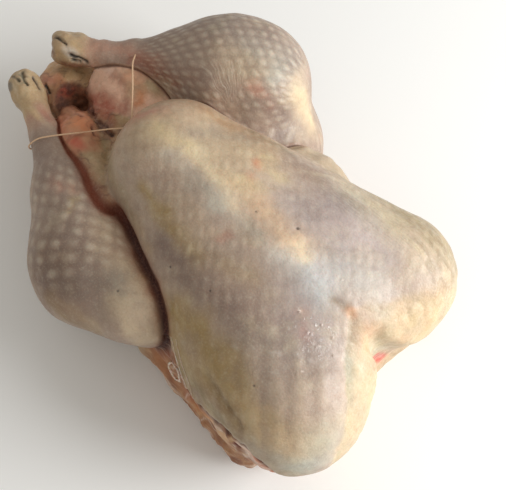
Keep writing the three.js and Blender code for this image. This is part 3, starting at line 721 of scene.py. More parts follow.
# Marks: colour, strength, width, then the path that they lie on.
BREAST_MARKS = (
    (BEIGE, 0.85, 46, ((-130, 0, 125), (-80, 10, 140), (-40, 40, 136))),
    (TAN, 0.55, 17, ((-128, 24, 120), (-100, 44, 128), (-70, 52, 130), (-38, 60, 128))),
    (TAN, 0.60, 9, ((-88, 44, 131), (-58, 48, 130.5))),
    (GREEN_GREY, 0.55, 13, ((-125, -26, 108), (-109, -41, 115), (-91, -53, 115), (-70, -60, 114))),
    (BEIGE, 0.6, 11, ((-53, -64, 115), (-40, -66, 117))),
    (MAUVE, 0.55, 15, ((-72, -22, 140), (-48, -24, 139.6))),
    (OLIVE, 0.85, 8, ((-72, -37, 128), (-58, -40, 131))),
    (OLIVE, 0.90, 9, ((-48, -40, 132.5), (-32, -45, 133))),
    (OLIVE, 0.75, 11, ((-26, -46, 133), (0, -51, 135))),
    (OLIVE, 0.45, 11, ((14, -40, 139), (40, -34, 142))),
    (DUSK, 0.90, 14, ((-32, -58, 125), (0, -62, 131), (34, -63, 137), (62, -57, 140))),
    (MAUVE, 0.7, 19, ((20, -54, 137), (56, -46, 141), (84, -38, 140))),
    (OLIVE, 0.95, 15, ((8, -82, 113), (38, -84, 125), (60, -90, 124), (80, -98, 119), (100, -106, 110))),
    (OLIVE, 0.80, 15, ((24, -97, 102), (46, -103, 95), (62, -104, 105))),
    (OLIVE, 0.70, 13, ((64, -84, 130), (84, -90, 126), (108, -96, 117), (126, -92, 117))),
    (GREEN_GREY, 0.85, 8, ((45, -106, 88), (62, -111, 92), (80, -112, 94), (94, -113, 95))),
    (DUSK, 0.6, 6, ((52, -108, 80), (62, -111, 84))),
    (BEIGE, 0.75, 26, ((124, -96, 110), (150, -84, 108))),
    (GREY_BLUE, 0.7, 11, ((118, -108, 98), (136, -106, 95), (156, -92, 88))),
    ((206, 192, 158), 0.75, 10, ((-104, 2, 142), (-83, 4, 146), (-58, 8, 145), (-30, 10, 145))),
    (YELLOW, 0.3, 6, ((-96, 3, 144), (-80, 5, 146), (-62, 7, 145))),
    (BEIGE, 0.9, 11, ((-50, 9, 144.6), (-30, 10, 144.8), (-8, 12, 144))),
    (GREY_BLUE, 0.70, 9, ((-76, -8, 144.6), (-52, -7, 144), (-23, -10, 144), (3, -9, 144), (26, -7, 145))),
    ((206, 196, 168), 0.5, 7, ((-58, 10, 145), (-30, 2, 145), (-8, -2, 145))),
    # Painted sheen, bluish-white, along the top of the breast.
    (BLUE_WHITE_SHEEN, 0.45, 6, ((-24, -8, 144), (-14, -10, 144))),
    (BLUE_WHITE_SHEEN, 0.65, 13, ((44, -5, 145), (70, 0, 144.6), (84, -8, 142))),
    (BLUE_WHITE_SHEEN, 0.45, 20, ((86, 14, 141), (104, 26, 135))),
    (BLUSH, 0.85, 7, ((-122, 0, 131), (-113, 6, 134))),
    (BLUSH, 0.45, 15, ((-130, -4, 124), (-108, 14, 137))),
    (PEACH, 0.25, 14, ((4, 12, 144), (24, 11, 144.4), (42, 7, 145))),
    ((212, 182, 146), 0.7, 10, ((8, 13, 144), (27, 9, 144.6), (42, 6, 145))),
    ((216, 200, 166), 0.7, 8, ((48, 5, 145), (56, 5, 145))),
    (ORANGE_SPOT, 0.9, 4.6, ((-22, 35, 139), (-20, 36, 138.6))),
    (ORANGE_SPOT, 0.45, 4.6, ((-17, 24, 142), (-14, 20, 143))),
    (YELLOW, 0.5, 7, ((-22, 45, 136), (-2, 38, 138))),
    (YELLOW, 0.45, 6, ((-20, 14, 143.6), (0, 24, 141.6))),
    (ROSE, 0.45, 4.0, ((3, -25, 141.4), (6, -24, 141.4))),
    (ROSE, 0.30, 6, ((84, -26, 140.6), (98, -36, 137))),
    (MAUVE, 0.75, 15, ((-10, 62, 127), (20, 66, 127), (48, 58, 129))),
    (MAUVE, 0.45, 15, ((20, 38, 137), (58, 40, 135))),
)
NEAR_LEG_MARKS = (
    (BEIGE, 0.5, 20, ((-78, -78, 107), (-48, -84, 108))),
    (KNEE_CREAM, 0.95, 13, ((-40, -80, 106), (-21, -84, 107), (-2, -92, 104), (13, -100, 91))),
    (KNEE_CREAM, 0.8, 12, ((-26, -105, 106), (-10, -110, 103), (4, -112, 90))),
    (OLIVE, 0.5, 9, ((-73, -139, 82), (-59, -140, 77), (-44, -136, 76), (-24, -126, 78))),
    (YELLOW, 0.3, 6, ((-70, -136, 88), (-50, -134, 88), (-26, -126, 86))),
    (BLUSH, 0.55, 6, ((-130, -75, 102), (-140, -75, 101))),
    (ORANGE_SPOT, 0.4, 4, ((-126, -66, 104), (-118, -70, 106))),
    (YELLOW, 0.6, 3.4, ((-113, -76, 105), (-111, -83, 106))),
    (GREY_BLUE, 0.5, 8, ((-42, -98, 108), (-34, -100, 108))),
    (TAN, 0.5, 7, ((-40, -74, 103), (-27, -78, 105))),
    (DUSK, 0.6, 18, ((-181, -63, 84), (-168, -67, 89), (-150, -72, 96))),
    (MAUVE, 0.4, 24, ((-110, -96, 104), (-80, -104, 108))),
)
FAR_LEG_MARKS = (
    (KNEE_CREAM, 0.75, 16, ((-58, 116, 112), (-50, 118, 96), (-42, 118, 78))),
    (FAT_WHITE, 0.9, 9, ((-56, 118, 107), (-49, 119, 90), (-43, 121, 78))),
    # Painted sheen, bluish-white, on the top of the far leg.
    (BLUE_WHITE_SHEEN, 0.8, 7, ((-76, 110, 130), (-71, 104, 126))),
    (BLUE_WHITE_SHEEN, 0.35, 16, ((-96, 104, 134), (-76, 116, 128))),
    (BEIGE, 0.45, 20, ((-104, 90, 135), (-88, 96, 132))),
    (BLUSH, 0.7, 8, ((-81, 87, 127), (-72, 91, 124))),
    ((226, 206, 188), 0.6, 1.5, ((-84, 90, 129), (-78, 85, 124))),
    ((226, 206, 188), 0.5, 1.5, ((-79, 93, 128), (-73, 88, 122))),
    (ROSE, 0.4, 6, ((-68, 92, 118), (-60, 92, 112))),
    (MAUVE, 0.6, 8, ((-56, 92, 105), (-48, 94, 100))),
    (BLUSH, 0.5, 9, ((-212, 40, 97), (-193, 52, 101), (-170, 54, 103))),
    (ROSE, 0.4, 6, ((-182, 50, 100), (-160, 55, 104))),
    (DUSK, 0.65, 20, ((-180, 72, 96), (-140, 104, 118), (-110, 130, 116))),
    # The far shank's reddish underside beside the fold: the flesh's red-brown with painted shade.
    ((146, 94, 72), 0.6, 9, ((-178, 48, 100), (-165, 52, 102), (-147, 53, 105), (-131, 54, 107))),
)
VENT_MARKS = (
    (FOLD_RED, 0.65, 8, ((-180, 6, 78), (-168, 5, 80), (-158, 0, 82))),
    (ORANGE, 0.75, 7, ((-155, 33, 91), (-151, 27, 88))),
    (GREEN_GREY, 0.7, 9, ((-157, 45, 94), (-149, 46, 93), (-132, 50, 98))),
    (GREEN_GREY, 0.65, 9, ((-143, -21, 85), (-129, -28, 89), (-118, -36, 94))),
    (BEIGE, 0.6, 9, ((-137, -40, 96), (-121, -42, 98), (-110, -48, 100))),
    (FOLD_RED, 0.5, 6, ((-203, 4, 60), (-192, 6, 72))),
)
TAIL_MARKS = (
    (GREEN_GREY, 0.5, 10, ((-232, 8, 68), (-218, 18, 70), (-208, 22, 76))),
    ((206, 128, 92), 0.6, 8, ((-236, -4, 67), (-226, 0, 69))),
    (BLUSH, 0.75, 5, ((-242, -5, 66), (-233, -5, 69))),
    (ORANGE_SPOT, 0.5, 5, ((-228, 2, 70), (-218, 2, 68))),
    (FOLD_RED, 0.7, 3.2, ((-226, -3, 68), (-218, 4, 68))),
    (SHADOW_BROWN, 0.7, 2.4, ((-233, 10, 70), (-224, 9, 70), (-214, 10, 68))),
    (SHADOW_BROWN, 0.7, 2.2, ((-240, 8, 67), (-230, 16, 69), (-218, 20, 70))),
)
FAT_MARKS = (
    ((204, 124, 100), 0.7, 5, ((-196, -26, 77), (-186, -31, 82), (-170, -37, 88), (-156, -40, 93))),
    ((224, 170, 146), 0.7, 3.4, ((-198, -10, 76), (-190, -14, 82), (-176, -14, 84))),
    ((222, 168, 148), 0.8, 2.2, ((-193, -22, 81), (-180, -29, 86), (-166, -34, 90))),
    ((214, 136, 90), 0.7, 9, ((-178, -18, 84), (-164, -20, 88))),
    ((190, 86, 68), 0.7, 5, ((-158, -36, 93), (-148, -39, 94))),
    (BEIGE, 0.8, 9, ((-137, -42, 96), (-121, -42, 98))),
    (FOLD_RED, 0.5, 4, ((-190, -16, 76), (-182, -10, 78))),
)
FLAP_MARKS = (
    ((150, 96, 78), 0.65, 6, ((-190, 30, 90), (-177, 28, 90), (-165, 24, 89), (-157, 18, 85))),
    (BLUSH, 0.5, 9, ((-190, 14, 83), (-176, 12, 83))),
    (ORANGE, 0.55, 6, ((-172, 34, 92), (-164, 38, 94))),
    (ORANGE, 0.8, 6, ((-155, 33, 91), (-151, 27, 88))),
    ((180, 136, 104), 0.6, 10, ((-178, 42, 92), (-162, 46, 94), (-148, 50, 96))),
    (TAN, 0.8, 9, ((-164, 30, 91), (-156, 42, 94), (-146, 46, 93))),
    (GREEN_GREY, 0.6, 6, ((-157, 47, 94), (-149, 48, 93))),
    ((226, 198, 182), 0.9, 5, ((-207, 25, 84), (-199, 32, 91), (-191, 39, 94), (-182, 44, 97))),
    ((166, 84, 64), 0.8, 7, ((-192, 4, 76), (-182, 6, 80), (-170, 8, 82), (-158, 14, 85))),
)
CUT_MARKS = (
    ((172, 122, 84), 0.85, 13, ((-8, -100, 62), (2, -105, 40), (12, -108, 33), (14, -104, 62))),
    ((120, 74, 56), 0.8, 7, ((18, -102, 80), (30, -104, 76))),
    ((158, 146, 140), 0.75, 7, ((58, -112, 72), (72, -114, 74), (84, -115, 78))),
    (FOLD_RED, 0.7, 6, ((6, -104, 76), (20, -104, 70))),
    ((206, 178, 152), 0.8, 7, ((16, -101, 84), (22, -99, 80))),
    ((184, 132, 106), 0.9, 8, ((34, -110, 44), (44, -112, 32))),
    ((196, 88, 60), 0.9, 2.2, ((40, -111, 42), (47, -112, 34), (54, -113, 30))),
    (ORANGE, 0.8, 9, ((56, -114, 42), (66, -115, 56), (74, -116, 60))),
    ((212, 178, 138), 0.8, 9, ((78, -116, 60), (92, -118, 66), (96, -117, 54))),
    (SHADOW_BROWN, 0.6, 3, ((84, -116, 66), (94, -117, 72))),
    (SINEW, 0.9, 5, ((112, -118, 86), (118, -116, 92), (118, -118, 76))),
    (RAW_PINK, 0.95, 12, ((126, -116, 88), (134, -113, 84), (138, -108, 70), (130, -112, 56))),
)
NECK_MARKS = (
    (PEACH, 0.6, 9, ((110, -1, 135), (119, 0, 129), (122, -2, 118))),
    (YELLOW, 0.5, 9, ((150, 41, 80), (148, 50, 92))),
    ((212, 172, 138), 0.6, 12, ((116, 6, 128), (124, 0, 116))),
    ((206, 180, 144), 0.5, 14, ((126, 30, 118), (134, 20, 100))),
    (FAT_WHITE, 0.6, 8, ((134, 40, 112), (142, 56, 96), (146, 72, 90))),
    (TAN, 0.5, 8, ((136, 60, 116), (138, 80, 108))),
)

TONES = {"torso": BREAST_TONES, "cream": NECK_TONES, "near": NEAR_TONES, "far": FAR_TONES}
# Surfaces of the vent, each over the last: zone, colour, marks.
VENT_LAYERS = (("vent", (178, 148, 112), VENT_MARKS), ("tail", (198, 162, 122), TAIL_MARKS),
               ("fat", (190, 144, 112), FAT_MARKS), ("flap", (222, 186, 162), FLAP_MARKS))


# ---- Painting ----
class Paint:
    """The colour of each point of the skin, laid on in layers, and what else its material needs."""

    def __init__(self, p, z):
        self.p, self.z, self.loose, self.uneven = p, z, ragged(p, 2.7, 2.6), ragged(p)
        self.lumps = np.stack([noise(p, size, seed) for size, seed in MOTTLE_LUMPS], 1)
        self.colour = np.tile(linear(LILAC), (len(p), 1))
        # Round the cavity's mouth, where painted shade is laid.
        hole = blob(self.loose, (-204, -10, 68), (32, 26, 24), 0.6)
        self.around = hole * z["vent"] * (1 - z["hollow"]) * (1 - 0.7 * z["fat"])

    def over(self, mask, colour):
        self.colour += (linear(colour) - self.colour) * np.clip(mask, 0, 1)[:, None]

    def mottle(self, zone, name):
        for colour, strength, low, high, shares in MOTTLING[name]:
            self.over(zone * ramp(self.lumps @ np.array(shares), low, high) * strength, colour)

    def marks(self, zone, marks):
        for colour, strength, width, path in marks:
            self.over(zone * strength * stroke(self.loose, path, width), colour)

    def tones(self, zone, tones):
        for factor, width, path in tones:
            self.colour *= 1 + (zone * stroke(self.loose, path, width))[:, None] * (np.array(factor) - 1)

    def breast(self):
        p, z, over, n6 = self.p, self.z, self.over, self.lumps[:, 2]
        t, (x, y, height) = z["torso"], p.T
        self.mottle(t, "torso")
        over(t * ramp(-y, 84, 104) * ramp(x, -30, 0) * 0.6, OLIVE)
        over(t * (1 - ramp(height, 40, 86)) * 0.5, BEIGE)
        self.marks(t, BREAST_MARKS)
        # The near lobe's ridges: paler on the crests and darker in the valleys, partly the skin's colour and
        # partly painted light and shade; a painted highlight on each knob at their heads.
        ridges, wave = lobe_ridges(p, 124)
        over(t * ridges * ramp(wave + 0.4 * n6, 0.1, 1.0) * 0.16, (196, 184, 158))
        over(t * ridges * ramp(-wave + 0.4 * n6, 0.1, 1.0) * 0.18, DUSK)
        for at in RIDGE_HEADS:
            over(blob(p, at, 2.8, 0.7) * 0.4, (214, 208, 196))
        # Pale and greenish wrinkles down the far side.
        wrinkle, far_side = noise(p * (0.13, 1, 0.8), 4.2, 55), t * ramp(y, 50, 74) * ramp(x, 0, 50)
        over(far_side * (0.35 + 0.35 * wrinkle), (206, 194, 158))
        over(far_side * ramp(-wrinkle, 0.1, 0.7) * 0.5, GREEN_GREY)
        over(t * ramp(y, 76, 98) * ramp(x, -40, 20) * 0.65, GREEN_GREY)
        # Paler on the far lump's top: the skin's pale colour with painted light.
        over(z["lump"] * ramp(height, 56, 72) * 0.7, (196, 180, 152))

    def neck_end(self):
        p, over, (n6, n3) = self.p, self.over, self.lumps[:, 2:].T
        t, cream, (x, y, height) = self.z["torso"], self.z["cream"], p.T
        over(cream, CREAM)
        self.marks(cream, NECK_MARKS)
        self.mottle(cream, "cream")
        over(cream * ramp(-height, -84, -20) * 0.35, TAN)
        over(t * bell(x - cream_edge_x(p) + 2, 3.0) * ramp(-y, -2, 12) * 0.16, (226, 212, 190))
        # Painted shade in the fold at the front of the keel and in the fold on the flank; the orange-tan
        # patch beside the keel fold is the skin's own colour.
        over(t * bell(from_path(p, KEEL_FOLD), 2.5) * ramp(-x, -118, -84) * 0.75, (136, 112, 80))
        over(t * blob(p, (109, -1, 135.5), (9, 6, 6), 0.6) * 0.6, (204, 150, 108))
        over(t * bell(from_path(self.uneven, FLANK_FOLD), 2.4) * 0.55, (112, 92, 62))
        gash = from_path(self.uneven, RED_CUT)
        over(bell(gash, 8) * 0.5, (214, 138, 112))
        over(np.exp(-(gash / (4.6 + 1.6 * noise(p, 7, 65))) ** 4) * (0.85 + 0.5 * n3), (204, 62, 54))
        over(bell(gash, 2.2) * ramp(n3 + n6, 0.3, 0.8) * 0.5, (232, 176, 160))
        over(blob(p, (140, 54, 17), (5, 5, 5), 0.5) * 0.8, MUSCLE)

    def legs(self):
        z, over = self.z, self.over
        for name in AXES:
            over(z[name] * 0.62, MAUVE)
            self.mottle(z[name], "leg")
        self.marks(z["near"], NEAR_LEG_MARKS)
        self.marks(z["far"], FAR_LEG_MARKS)
        # Broad painted light and shade, with the skin's own tone, over the torso, neck end and legs.
        for name, tones in TONES.items():
            self.tones(z[name], tones)
        for name, axis in AXES.items():
            along = share_along(self.p, axis) + 0.02 * self.lumps[:, 1]
            ankle = z[name] * (1 - ramp(along, 0.09, 0.17))
            over(z[name] * (1 - ramp(along, 0.15, 0.25)) * 0.75, (186, 148, 126))
            over(ankle * 0.9, ANKLE)
            self.mottle(ankle, "ankle")
            over(z[name] * (1 - ramp(along, -0.075, -0.035)) * 0.6, (150, 132, 118))
        for name, colour, strength, at, radii, soft in ANKLE_SPOTS:
            over(z[name] * blob(self.p, at, radii, soft) * strength, colour)

    def vent(self):
        p, z, over, loose = self.p, self.z, self.over, self.loose
        for name, colour, marks in VENT_LAYERS:
            over(z[name], colour)
            self.mottle(z[name], name)
            self.marks(z[name], marks)
        # The cavity: the red-brown of the flesh inside, with painted shade darkening it deeper in.
        over(z["hollow"], (116, 72, 48))
        over(z["hollow"] * blob(loose, (-217, -1, 66), (12, 11, 11), 0.8) * 0.9, (142, 58, 40))
        over(z["hollow"] * blob(loose, (-205, -9, 58), (13, 12, 14), 0.8) * 0.7, (86, 58, 48))
        self.mottle(z["hollow"], "hollow")
        # Painted shade round the cavity's mouth.
        over(self.around * 0.9, (112, 68, 46))
        self.mottle(self.around, "around")
        v = z["vent"]
        red = blob(loose, (-176, 2, 78), (26, 14, 14), 0.8) * (1 - 0.5 * z["flap"])
        over(v * red * 0.75, (158, 80, 60))
        # Painted shade, near black, in the crease along the fat's edge.
        seam_shade = bell(fat(p) - 2.4, 1.8) * blob(p, (-196, -8, 74), (26, 24, 24), 0.5)
        over((1 - z["fat"]) * v * seam_shade * 0.85, (58, 24, 18))
        # Painted shade in fine wrinkles over the vent.
        wrinkles = bell(noise(loose * (1, 0.6, 1), 8, 58), 0.09)
        over(v * wrinkles * (1 - 0.75 * z["flap"] - 0.5 * z["fat"]) * 0.55, (84, 54, 42))

    def cut_flesh(self):
        p, z, over, k, y = self.p, self.z, self.over, self.z["cut"], self.p[:, 1]
        over(k, (160, 118, 84))
        self.mottle(k, "cut")
        self.marks(k * ramp(-y, 0, 10), CUT_MARKS)
        self.mottle(k * ramp(y, 0, 10), "far_cut")
        over(k * bell(noise(p * (0.4, 1, 1), 8, 56), 0.09) * 0.55, SINEW)
        side, edge = z["torso"] * z["side"], z["edge"]
        # A dark line just below the lip of the skin is painted shade; the pale band on the lip above is the
        # skin's own edge.
        over(side * (1 - ramp(np.abs(edge - 2.6), 1.5, 5.0)) * (0.8 + 0.3 * self.lumps[:, 2]), (66, 38, 26))
        over(side * (1 - ramp(np.abs(edge + 3), 0.5, 2.4)) * 0.5, (176, 164, 144))
        # Painted shade, dark red, in the holes of the cut flesh.
        for at, radius in HOLES:
            over(blob(p, at, radius * 1.25, 0.5), DARK_RED)

    def folds(self):
        p, z, over, (n12, n6, n3) = self.p, self.z, self.over, self.lumps[:, 1:].T
        # Painted shade: red-brown beside the legs' folds and near black in them, over the flesh's own
        # red-brown.
        beside = near_fold(p)
        over(z["shade"] * (0.35 + 0.35 * beside) * (0.8 + 0.4 * n12), FOLD_RED)
        over(z["fold"] * (0.75 + 0.30 * beside), CREASE_SHADE)
        over(beside * (z["fold"] + z["shade"]) * 0.4 * (1 - ramp(p[:, 0], -110, -60)), (132, 66, 40))
        # Painted shade in the fissures beside the vent, near black in them and reddish beside them.
        for half, path in FISSURES:
            away = from_path(self.uneven, path)
            over(bell(away, half) * (0.75 + 0.35 * n6), (46, 30, 26))
            over(bell(away, half * 2.6) * 0.35, (110, 62, 46))
        wavering = ragged(p, 0.4)
        # A grey rim round each slit of the ankles, and black painted shade inside it.
        for half, slit in SLITS:
            over(bell(from_path(p, slit), half * 2.4) * 0.4, (124, 116, 108))
            over(bell(from_path(wavering, slit), half * (1 + 0.5 * n3)) * 1.25, BLACK)
        for at, radius in PORES:
            over(blob(p, at, radius, 0.7) * 0.85, PORE)
        # Painted highlights on the small wet bumps.
        for at in GLINTS:
            over(blob(self.loose, at, GLINT_RADIUS, 0.8) * 0.8, GLINT)

    def pits(self):
        """How strongly the feather pits show."""
        p, z, far = self.p, self.z, self.z["far"]
        along_near, along_far = (share_along(p, axis) for axis in AXES.values())
        near = z["near"] * ramp(along_near, 0.30, 0.56) * (1 - ramp(along_near, 0.82, 1.0))
        near = near * (1 - 0.8 * ramp(-p[:, 1], 126, 142))
        near = near * (1 - 0.9 * blob(p, (-8, -96, 84), (34, 26, 44), 0.7))
        knee = blob(p, (-40, 110, 92), (24, 26, 44), 0.7)
        all_pits = near + far * ramp(along_far, 0.28, 0.60) * (1 - 0.85 * knee) * (1 - 0.8 * z["pleat"])
        broad = 0.22 + 0.25 * ramp(self.lumps[:, 0], -0.2, 0.6)
        all_pits += z["torso"] * broad * (1 - z["cream"]) * (1 - z["cut"])
        all_pits = all_pits * (1 - 0.6 * blob(p, (-55, 62, 116), (40, 40, 30), 0.7) * far)
        return np.clip(all_pits * (1 - z["shade"]), 0, 1)

    def masks(self):
        p, z, k = self.p, self.z, self.z["cut"]
        wet = 0.15 + 0.65 * blob(p, (100, -32, 134), (44, 28, 30), 0.9) + 0.25 * k + 0.15 * z["fat"]
        raw = k + 0.85 * z["hollow"] + z["fat"] * 0.6 + z["fold"] + 0.8 * self.around
        grain = 0.75 * z["pleat"] + 0.7 * k + 0.25 * z["cream"]
        grain += 0.35 * z["torso"] * ramp(p[:, 1], 46, 70) * ramp(p[:, 0], 0, 40)
        shares = {"wet": wet, "raw": raw, "grain": grain}
        return {"pits": self.pits(), **{name: np.clip(v, 0, 1) for name, v in shares.items()}}


def paint(p, z):
    """Colour of each point, and how strongly its pits and fine lines show and how wet and how raw it is."""
    skin_paint = Paint(p, z)
    for layer in (Paint.breast, Paint.neck_end, Paint.legs, Paint.vent, Paint.cut_flesh, Paint.folds):
        layer(skin_paint)
    return skin_paint.colour * WARMTH, skin_paint.masks()


def lattices(p, z):
    """Coordinates of the feather pits' cells and of the fine lines, and where the cells show."""
    pit, line, shown = np.zeros((len(p), 3)), p * (0.13, 1, 1), np.ones(len(p))
    round_body = np.arctan2(p[:, 1], p[:, 2] - BODY_AXIS) * BODY_ROUND
    pit[:, 0] = (p[:, 0] + round_body) * math.sqrt(0.5) / BREAST_PIT[0]
    pit[:, 1] = (p[:, 0] - round_body) * math.sqrt(0.5) / BREAST_PIT[1]
    for name, (in_row, to_row, one_pit) in PITS.items():
        a, b = (np.array(end, float) for end in AXES[name])
        d = (b - a) / np.linalg.norm(b - a)
        side = np.cross(d, (0, 0, 1))
        side /= np.linalg.norm(side)
        up = np.cross(side, d)
        q, m = p - a, z[name] > 0.5
        flat = np.stack([q @ d, np.arctan2(q @ side, q @ up) * LEG_ROUND], 1) - np.array(one_pit)
        pit[m, :2] = (flat @ np.linalg.inv(np.array((in_row, to_row))))[m] + CELL_SHIFT
        # At the knee's end, where all rows meet, the pits fade.
        before_knee = 1 - ramp((p - b) @ d, -40, 0)
        shown[m] = np.maximum(ramp(np.hypot(q @ side, q @ up), 16, 40), before_knee)[m]
    m = z["far"] > 0.5
    line[m] = z["fan"][m]
    return pit, line, shown


# ---- Bird ----
def new_object(name, data):
    obj = bpy.data.objects.new(name, data)
    bpy.context.scene.collection.objects.link(obj)
    return obj


def new_piece(mesh, material):
    mesh.polygons.foreach_set("use_smooth", [True] * len(mesh.polygons))
    mesh.materials.append(material)
    return new_object(mesh.name, mesh)


def mesh_of(name, points, faces):
    mesh = bpy.data.meshes.new(name)
    mesh.from_pydata((np.array(points) * MM).tolist(), [], faces)
    mesh.validate()
    return mesh


def coordinates(mesh):
    co = np.zeros(len(mesh.vertices) * 3)
    mesh.vertices.foreach_get("co", co)
    return co.reshape(-1, 3) / MM


def refine(mesh, near):
    """Splits the edges whose two ends both lie where near is true."""
    bm = bmesh.new()
    bm.from_mesh(mesh)
    bm.verts.ensure_lookup_table()
    edges = [e for e in bm.edges if near[e.verts[0].index] and near[e.verts[1].index]]
    bmesh.ops.subdivide_edges(bm, edges=edges, cuts=1, use_grid_fill=True)
    bm.to_mesh(mesh)
    bm.free()


def fine_places(p, margin):
    near = np.zeros(len(p), bool)
    for _, line in SLITS + FISSURES:
        near |= from_path(p, line) < 3 + margin
    for at, radius in PORES + HOLES + tuple((at, GLINT_RADIUS) for at in GLINTS):
        near |= length(p - at) < radius * 1.3 + margin
    return near


def leg_folds(p, reach):
    return (np.minimum(*leg_gaps(p)) < reach) & (p[:, 2] > 40)


def inside_box(p, middle, half):
    return (np.abs(p - middle) < half).all(axis=1)


def detailed(p):
    vent_top = inside_box(p, (-186, 2, 84), (62, 56, 34))
    cut_side = inside_box(p, (70, -144, 57), (90, 50, 43))
    neck = (p[:, 0] > 104) & (p[:, 2] > 8)
    return vent_top | cut_side | neck | leg_folds(p, 9) | fine_places(p, 5)


def most_detailed(p):
    return inside_box(p, (-180, 0, 86), (46, 46, 30)) | leg_folds(p, 4.5) | fine_places(p, 1)


def build_bird():
    points, quads = skin(bird_field)
    points = onto(bird_field, points)
    points[:, 2] = np.maximum(points[:, 2], 0)
    mesh = mesh_of("turkey_skin", points, quads.tolist())
    refine(mesh, detailed(coordinates(mesh)))
    refine(mesh, most_detailed(coordinates(mesh)))
    p = coordinates(mesh)
    lifted = p[:, 2] > 0.05
    p[lifted] = onto(bird_field, p[lifted], 2)
    p[:, 2] = np.maximum(p[:, 2], 0)
    z = zones(p)
    colour, masks = paint(p, z)
    pit, line, shown = lattices(p, z)
    masks["pits"] *= shown
    p = p + outward(flesh, p) * relief(p, z)[:, None]
    p[:, 2] = np.maximum(p[:, 2], 0)
    mesh.vertices.foreach_set("co", (p * MM).ravel())
    mesh.update()
    rgba_tint = np.concatenate([colour, np.ones((len(p), 1))], 1)
    kinds = {"color": ("FLOAT_COLOR", {"tint": rgba_tint}),
             "vector": ("FLOAT_VECTOR", {"pit_cells": pit, "fine_lines": line}),
             "value": ("FLOAT", masks)}
    for field, (kind, attributes) in kinds.items():
        for name, values in attributes.items():
            data = mesh.attributes.new(name, kind, "POINT").data
            data.foreach_set(field, values.astype(np.float32).ravel())
    obj = new_piece(mesh, skin_material())
    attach(obj, "root")
    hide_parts("bird")
    print("bird faces", len(mesh.polygons), "vertices", len(p))


# ---- Materials ----
class Nodes:
    """Short ways to add and join shader nodes."""

    def __init__(self, name):
        self.material = bpy.data.materials.new(name)
        self.material.use_nodes = True
        self.tree = self.material.node_tree
        self.shader = self.tree.nodes["Principled BSDF"]
        self.at = self.add("ShaderNodeTexCoord").outputs["Object"]

    def add(self, kind, inputs=(), **settings):
        node = self.tree.nodes.new(kind)
        for key, value in settings.items():
            setattr(node, key, value)
        for key, value in dict(inputs).items():
            self.put(node.inputs[key], value)
        return node

    def put(self, socket, value):
        if isinstance(value, bpy.types.NodeSocket):
            self.tree.links.new(value, socket)
        else:
            socket.default_value = value

    def surface(self, **values):
        """Sets the shader's sockets: base_color is Base Color."""
        for key, value in values.items():
            self.put(self.shader.inputs[key.replace("_", " ").title().replace("Ior", "IOR")], value)

    def math(self, operation, a, b=0.0, clamp=False):
        return self.add("ShaderNodeMath", {0: a, 1: b}, operation=operation, use_clamp=clamp).outputs[0]

    def times(self, a, b):
        return self.math("MULTIPLY", a, b)

    def ramp(self, value, low, high, to_low=0.0, to_high=1.0):
        inputs = {"Value": value, "From Min": low, "From Max": high, "To Min": to_low, "To Max": to_high}
        return self.add("ShaderNodeMapRange", inputs, interpolation_type="SMOOTHSTEP").outputs[0]

    def mix(self, share, a, b):
        node = self.add("ShaderNodeMix", data_type="RGBA")
        for key, value in (("Factor", share), (6, a), (7, b)):
            self.put(node.inputs[key], value)
        return node.outputs[2]

    def mixed_in(self, colour, steps):
        """Mixes colours in: each by its share, where a value goes from low to high."""
        for value, low, high, share, tone in steps:
            colour = self.mix(self.ramp(value, low, high, 0.0, share), colour, rgba(tone))
        return colour

    def noise(self, scale, detail=3.0, rough=0.55, at=None, output="Fac"):
        inputs = {"Vector": at or self.at, "Scale": scale, "Detail": detail, "Roughness": rough}
        return self.add("ShaderNodeTexNoise", inputs).outputs[output]

    def vector(self, operation, inputs):
        return self.add("ShaderNodeVectorMath", inputs, operation=operation).outputs[0]

    def bump(self, height, strength, distance):
        inputs = {"Strength": strength, "Distance": distance, "Height": height}
        return self.add("ShaderNodeBump", inputs).outputs[0]

    def attribute(self, name, output="Fac"):
        return self.add("ShaderNodeAttribute", attribute_name=name).outputs[output]


def rgba(colour):
    return (*linear(colour), 1.0)


def pit_cells(m):
    """The feather pits' pale raised spots and the dark net between them, both from 0 to 1."""
    pits = m.attribute("pits")
    shake = m.noise(70.0, 1.0, 0.5, output="Color")
    shake = m.vector("SUBTRACT", {0: shake, 1: (0.5, 0.5, 0.5)})
    shake = m.vector("SCALE", {0: shake, "Scale": 0.34})
    at = m.vector("ADD", {0: m.attribute("pit_cells", "Vector"), 1: shake})
    cells = m.add("ShaderNodeTexVoronoi", {"Vector": at, "Scale": 1.0, "Randomness": 0.14},
                  voronoi_dimensions="2D")
    away = cells.outputs["Distance"]
    by_chance = m.add("ShaderNodeSeparateColor", {0: cells.outputs["Color"]}).outputs[0]
    chosen = m.ramp(by_chance, 0.0, 0.9, 0.45, 1.0)
    spot = m.times(m.times(m.ramp(away, 0.46, 0.06), pits), chosen)
    return spot, m.times(m.math("SUBTRACT", 1.0, m.ramp(away, 0.62, 0.40)), pits)


